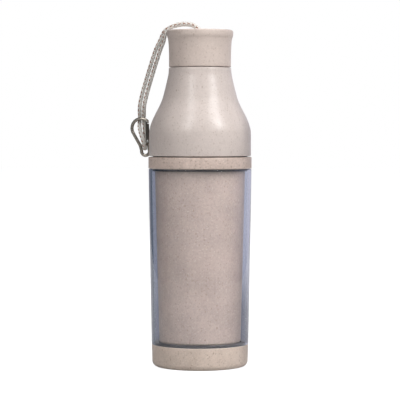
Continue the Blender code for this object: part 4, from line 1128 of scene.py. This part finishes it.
def show_braided(name, node, line, sides, yarns):
    """A braided cord along the line, as a piece that rides on the cap."""
    source = line_mesh(node, line)
    attribute = source.attributes.new("side", "FLOAT_VECTOR", "POINT")
    attribute.data.foreach_set("vector", [x for side in sides for x in side])
    mesh = grown(node, braid_tree(), source, **BRAID, **yarns)
    mesh.shade_smooth()
    mesh.transform(strap_turn())
    return show(name, mesh, "cap", node, slot="cord")


# Carabiner, in its own plane: X across it, Z up along it, Y behind it, from the middle of its eye


def carabiner_matrix():
    """From the carabiner's plane to the CAD frame."""
    hang = Matrix.Translation((-CARABINER_OUT, 0, CARABINER_HEIGHT)) @ Matrix.Rotation(CARABINER_LEAN, 4, "Y")
    return strap_turn() @ hang


def arc(height, radius, start, end, steps):
    angles = [start + (end - start) * k / steps for k in range(steps + 1)]
    return [Vector((radius * cos(a), 0, height + radius * sin(a))) for a in angles]


def gate_line():
    """The hinge point and the nose point, between which the gate lies."""
    hinge = Vector((WAIST_HALF_WIDTH, 0, HINGE_HEIGHT))
    return hinge, arc(BEND_SPACING, HEAD_BEND, NOSE_ANGLE, NOSE_ANGLE, 1)[0]


def gate_matrix():
    """Turns +Z along the gate and puts the origin on its hinge."""
    hinge, nose = gate_line()
    along = nose - hinge
    return Matrix.Translation(hinge) @ Matrix.Rotation(atan2(along.x, along.z), 4, "Y")


def frame_path():
    """The bent wire: lip, head, spine, waist, eye, and up to the tongue that carries the gate."""
    hinge, nose = gate_line()
    lip = nose + (hinge - nose).normalized() * LAP_LENGTH
    lean = asin((HEAD_BEND - EYE_BEND) / BEND_SPACING)
    head = arc(BEND_SPACING, HEAD_BEND, NOSE_ANGLE, pi + lean, HEAD_STEPS)
    eye = arc(0, EYE_BEND, EYE_START, EYE_END, EYE_STEPS)
    waist = Vector((-WAIST_HALF_WIDTH, 0, CROSSBAR_HEIGHT))
    spine = smooth_line([head[-1], head[-1].lerp(waist, SPINE_SHARE), waist, eye[0]], SPINE_STEPS)[1:-1]
    tongue = hinge + Vector((0, 0, (PIN_ROOM + WIRE_RADIUS) / 2))
    foot = Vector((WAIST_HALF_WIDTH, 0, CROSSBAR_HEIGHT - CROSSBAR_DIAMETER))
    rise = smooth_line([eye[-1], foot, hinge, tongue], SPINE_STEPS)[1:]
    return [lip, *head, *spine, *eye, *rise]


def bent_wire(finish):
    """The frame's round wire as a closed mesh."""
    curve = bpy.data.curves.new("carabiner_frame", "CURVE")
    curve.dimensions = "3D"
    path = frame_path()
    spline = curve.splines.new("POLY")
    spline.points.add(len(path) - 1)
    for place, point in zip(spline.points, path):
        place.co = (*point, 1)
    curve.bevel_depth = WIRE_RADIUS
    curve.bevel_resolution = WIRE_SIDES // 4
    curve.use_fill_caps = True
    curve.materials.append(finish)
    wire = placed("carabiner_frame", curve)
    mesh = tidied(evaluated(wire))
    bpy.data.objects.remove(wire, do_unlink=True)
    return mesh


def solid(shape, **sizes):
    """A plain solid as an object for a Boolean."""
    work = bmesh.new()
    shape(work, **sizes)
    mesh = bpy.data.meshes.new("solid")
    work.to_mesh(mesh)
    work.free()
    return placed("solid", mesh)


def rod(start, end, diameter, finish=None):
    """A cylinder from start to end, as an object for a Boolean."""
    start, end = Vector(start), Vector(end)
    along, half = end - start, diameter / 2
    place = Matrix.Translation((start + end) / 2) @ along.to_track_quat("Z", "Y").to_matrix().to_4x4()
    made = solid(
        bmesh.ops.create_cone, cap_ends=True, segments=FINE_STEPS, radius1=half, radius2=half,
        depth=along.length, matrix=place,
    )
    if finish:
        made.data.materials.append(finish)
    return made


def block(size, middle):
    """A box in the gate's own place, as an object for a Boolean."""
    place = gate_matrix() @ Matrix.Translation(middle) @ Matrix.Diagonal((*size, 1))
    return solid(bmesh.ops.create_cube, size=1, matrix=place)


def build_frame(metal):
    """The wire gourd with its crossbar, the flat that carries the gate, and the lap at its nose."""
    hinge, nose = gate_line()
    ends = [(x, 0, CROSSBAR_HEIGHT) for x in (-WAIST_HALF_WIDTH, WAIST_HALF_WIDTH)]
    frame = combined(placed("frame", bent_wire(metal)), "UNION", [rod(*ends, CROSSBAR_DIAMETER, metal)])
    outside = Vector((0, WIRE_RADIUS + OVERRUN, 0))
    flat = Vector((0, TONGUE_PLATE / 2, 0))
    swing = GATE_DIAMETER + 2 * FINE_CLEARANCE + WIRE_RADIUS
    tools = [rod(hinge + sign * flat, hinge + sign * outside, swing) for sign in (-1, 1)]
    tools.append(rod(hinge - outside, hinge + outside, PIN_ROOM))
    width, depth, height = GATE_DIAMETER, GATE_DIAMETER + OVERRUN, LAP_LENGTH + OVERRUN
    middle = (FINE_CLEARANCE - width / 2, 0, (nose - hinge).length - height / 2)
    tools.append(block((width, depth, height), middle))
    frame = tidied(combined(placed("frame", frame), "DIFFERENCE", tools))
    frame.transform(carabiner_matrix())
    return show("carabiner_wire", frame, "cap", "carabiner_frame", slot="gunmetal")


def build_gate(metal, steel):
    """The hollow gate with its fork and its half-lap, the rivet, and the spring in the bore."""
    hinge, nose = gate_line()
    length = (nose - hinge).length - FINE_CLEARANCE
    side = Vector((0, GATE_DIAMETER / 2, 0))
    barrel = rod((0, 0, 0), (0, 0, length), GATE_DIAMETER, metal)
    barrel.data.transform(gate_matrix())
    gate = combined(barrel, "UNION", [rod(hinge - side, hinge + side, GATE_DIAMETER, metal)])
    # The fork's slot ends clear of the tongue as the gate swings
    slot_top = hypot((PIN_ROOM + WIRE_RADIUS) / 2, WIRE_RADIUS) + FINE_CLEARANCE
    slot = (2 * GATE_DIAMETER, TONGUE_PLATE + 2 * FINE_CLEARANCE, slot_top + GATE_DIAMETER)
    bore_top = slot_top + FINE_CLEARANCE * 2 + SPRING_PITCH * SPRING_TURNS + SPRING_WIRE
    lap = (GATE_DIAMETER, GATE_DIAMETER + OVERRUN, LAP_LENGTH + FINE_CLEARANCE + OVERRUN)
    lap_middle = (lap[0] / 2 - FINE_CLEARANCE, 0, length - LAP_LENGTH - FINE_CLEARANCE + lap[2] / 2)
    tools = [
        block(slot, (0, 0, slot_top - slot[2] / 2)),
        rod(hinge, gate_matrix() @ Vector((0, 0, bore_top)), GATE_DIAMETER / 2),
        rod(hinge - 2 * side, hinge + 2 * side, PIN_ROOM),
        block(lap, lap_middle),
    ]
    gate = tidied(combined(placed("gate", gate), "DIFFERENCE", tools))
    gate.transform(carabiner_matrix())
    made = [show("gate_barrel", gate, "gate", "carabiner_gate", slot="gunmetal")]

    half = GATE_DIAMETER / 2 + FINE_CLEARANCE
    head, shank = PIN_HEAD_DIAMETER / 2, PIN_DIAMETER / 2
    outline = rounded(
        [
            (0, half + PIN_HEAD_HEIGHT, 0), (head, half + PIN_HEAD_HEIGHT, PIN_HEAD_HEIGHT), (head, half, 0),
            (shank, half, 0), (shank, -half, 0), (head, -half, 0),
            (head, -half - PIN_HEAD_HEIGHT, PIN_HEAD_HEIGHT), (0, -half - PIN_HEAD_HEIGHT, 0),
        ]
    )
    rivet = turned("gate_pin", outline, steel, FINE_STEPS)
    rivet.transform(carabiner_matrix() @ Matrix.Translation(hinge) @ Matrix.Rotation(pi / 2, 4, "X"))
    made.append(show("gate_rivet", rivet, "cap", "gate_pin", slot="pin_steel"))

    spring = helix(
        "gate_coil", steel, SPRING_TURNS, SPRING_STEPS, lead=SPRING_PITCH, start_angle=0,
        radius=GATE_DIAMETER / 4 - (FINE_CLEARANCE + SPRING_WIRE) / 2,
        start_height=slot_top + FINE_CLEARANCE + SPRING_WIRE / 2, width=SPRING_WIRE, depth=SPRING_WIRE,
        taper_share=SPRING_TAPER_SHARE, sides=SPRING_SIDES,
    )
    spring.transform(carabiner_matrix() @ gate_matrix())
    made.append(show("gate_coil", spring, "gate", "gate_spring", slot="pin_steel"))
    return made


def build_strap():
    """The braided cord with its knot and the carabiner."""
    yarns = {
        "yarn": yarn_fibre("pale_yarn", (0.93, 0.91, 0.87), (0.72, 0.69, 0.63)),
        # The core is a real part of the cord; its dark tone is painted shade for the gaps between the yarns
        "core": yarn_fibre("core_yarn_painted_gap_shade", (0.30, 0.26, 0.21), (0.16, 0.13, 0.10)),
        "tracer": yarn_fibre("brown_yarn", (0.42, 0.19, 0.11), (0.24, 0.10, 0.06)),
    }
    gunmetal = plated_metal("gunmetal", (0.30, 0.27, 0.235), 0.26, 0.5)
    # Painted shade: the gate gets a darker copy of the frame's gunmetal, for the shade it faces into
    shaded_gate_metal = plated_metal("gate_metal_painted_shade", (0.10, 0.092, 0.082), 0.32, 0.3)
    steel = plated_metal("spring_steel", (0.56, 0.56, 0.55), 0.3, 0.3)
    line, knot_path = cord_line(), knot_line()
    cord = show_braided("braided_strap", "strap_cord", line, tracer_sides(line), yarns)
    knot = show_braided("stopper_knot", "strap_knot", knot_path, knot_sides(knot_path), yarns)
    clips = [build_frame(gunmetal), *build_gate(shaded_gate_metal, steel)]
    path = [strap_turn() @ p for p in line]
    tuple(path[2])


# Stage


def light_room():
    """A soft studio: stronger light from the right, a white backdrop, and grey surroundings beside it.

    The camera sees white everywhere. Reflections and clear plastic show the backdrop and the grey sides,
    and white below the bottle.
    """
    world = bpy.data.worlds.new("studio")
    bpy.context.scene.world = world
    world.use_nodes = True
    nodes = Nodes(world.node_tree)
    place = nodes.add("ShaderNodeTexCoord", {}, "Generated")
    across, away, up = nodes.add("ShaderNodeSeparateXYZ", {"Vector": place}, "X", "Y", "Z")
    strength = nodes.ranged(across, -ROOM_REACH, ROOM_REACH, *ROOM_STRENGTHS)
    room = nodes.tree.nodes["Background"]
    nodes.feed(room, {"Color": ROOM_COLOUR, "Strength": strength})
    behind = nodes.ranged(nodes.math("ABSOLUTE", across), *BACKDROP_EDGE, 1, 0) * (away > 0)
    backdrop = nodes.math("MAXIMUM", behind, nodes.ranged(up, *BELOW_EDGE, 0, BELOW_WHITE))
    ways = {"across": across, "away": away, "up": up}
    sides = LEFT_SIDE
    for way, start, full, colour in OTHER_SIDES:
        sides = nodes.blend(nodes.ranged(ways[way], start, full), sides, colour)
    around = nodes.add("ShaderNodeBackground", {"Color": nodes.blend(backdrop, sides, WHITE)})
    white = nodes.add("ShaderNodeBackground", {"Color": WHITE})
    camera, glossy, passed = nodes.add(
        "ShaderNodeLightPath", {}, "Is Camera Ray", "Is Glossy Ray", "Is Transmission Ray"
    )
    bounced = nodes.either(nodes.math("MAXIMUM", glossy, passed), room, around)
    nodes.feed(nodes.tree.nodes["World Output"], {"Surface": nodes.either(camera, bounced, white)})


def softbox(name, azimuth, elevation, width, height, power):
    """An area lamp that faces the bottle."""
    lamp = bpy.data.lights.new(name, "AREA")
    lamp.shape = "RECTANGLE"
    lamp.size, lamp.size_y, lamp.energy = width, height, power
    a, e = radians(azimuth), radians(elevation)
    way = Vector((sin(a) * cos(e), -cos(a) * cos(e), sin(e)))
    made = placed(name, lamp)
    made.location = Vector(LAMP_AIM) + LAMP_DISTANCE * way
    made.rotation_euler = (-way).to_track_quat("-Z", "Y").to_euler()


def paper_tree(name, tone):
    """Matt paper: (material, nodes, shader, and whether the camera, a reflection or clear plastic sees it)."""
    made, nodes, shader = shader_tree(name)
    nodes.feed(shader, {"Base Color": tone, "Roughness": 1.0})
    seen_by = nodes.add("ShaderNodeLightPath", {}, "Is Camera Ray", "Is Glossy Ray", "Is Transmission Ray")
    return made, nodes, shader, seen_by


def sheet(name, corners, finish, nodes, hidden, shown):
    """A flat sheet that isn't there for the rays for which it is hidden."""
    unseen = nodes.add("ShaderNodeBsdfTransparent")
    surface = nodes.either(hidden, shown, unseen)
    nodes.feed(nodes.tree.nodes["Material Output"], {"Surface": surface})
    mesh = bpy.data.meshes.new(name)
    mesh.from_pydata(corners, [], [(0, 1, 2, 3)])
    mesh.materials.append(finish)
    return placed(name, mesh)


def build_floor():
    """A strip of white paper that widens with the picture. It shows white and keeps a soft shadow."""
    near, far = FLOOR_NEAR + FLOOR_MARGIN, FLOOR_FAR * FLOOR_SPREAD + FLOOR_MARGIN
    corners = [(-near, -FLOOR_NEAR, 0), (near, -FLOOR_NEAR, 0), (far, FLOOR_FAR, 0), (-far, FLOOR_FAR, 0)]
    made, nodes, shader, (camera, glossy, passed) = paper_tree("white_paper", FLOOR_TONE)
    nodes.feed(shader, {"Specular IOR Level": 0.0})
    faint = nodes.add("ShaderNodeBsdfDiffuse", {"Color": FLOOR_SHADOW_TONE})
    glow = nodes.add("ShaderNodeEmission", {"Color": WHITE, "Strength": FLOOR_GLOW})
    white = nodes.add("ShaderNodeAddShader", {0: faint, 1: glow})
    shown = nodes.math("MAXIMUM", camera, glossy * FLOOR_SHINE)
    floor = sheet("floor", corners, made, nodes, passed, nodes.either(shown, shader, white))


def build_card():
    """A black card beside the bottle, out of the picture, that darkens the right edge of its dull pieces."""
    near, far = CARD_EDGES
    corners = [(CARD_OUT, y, z) for y, z in ((near, 0), (far, 0), (far, CARD_TOP), (near, CARD_TOP))]
    made, nodes, shader, (camera, glossy, passed) = paper_tree("black_card", CARD_TONE)
    hidden = nodes.math("MAXIMUM", nodes.math("MAXIMUM", camera, passed), glossy)
    flag = sheet("flag", corners, made, nodes, hidden, shader)


def build_camera():
    """The photograph's view: a long lens a little above the middle of the bottle."""
    lens = bpy.data.cameras.new("camera")
    lens.lens = LENS
    lens.sensor_width = SENSOR
    lens.sensor_fit = "HORIZONTAL"
    camera = placed("camera", lens)
    camera.location = (0, -CAMERA_DISTANCE, CAMERA_HEIGHT)
    look = Vector((0, 0, AIM_HEIGHT)) - camera.location
    camera.rotation_euler = look.to_track_quat("-Z", "Y").to_euler()
    bpy.context.scene.camera = camera


def main():
    for thing in list(bpy.data.objects):
        bpy.data.objects.remove(thing, do_unlink=True)
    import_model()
    bpy.context.scene.view_settings.view_transform = "Standard"

    build_camera()
    build_strap()
    build_base(speckled_plastic("base_straw_plastic", *BASE_SKIN))
    build_sleeve(clear_plastic())
    build_inner_cup(speckled_plastic("cup_straw_plastic_painted_shade", *CUP_SHADED_SKIN))
    build_collar(speckled_plastic("collar_straw_plastic", *COLLAR_SKIN))
    build_seals(rubber())
    build_shoulder(speckled_plastic("shoulder_straw_plastic", *SHOULDER_SKIN))
    insert = plain_plastic("insert_plastic", (0.62, 0.56, 0.51), 0.45)
    build_cap(speckled_plastic("cap_straw_plastic", *CAP_SKIN), insert)

    light_room()
    build_floor()
    build_card()
    for name, lamp in LAMPS.items():
        softbox(name, *lamp)


main()
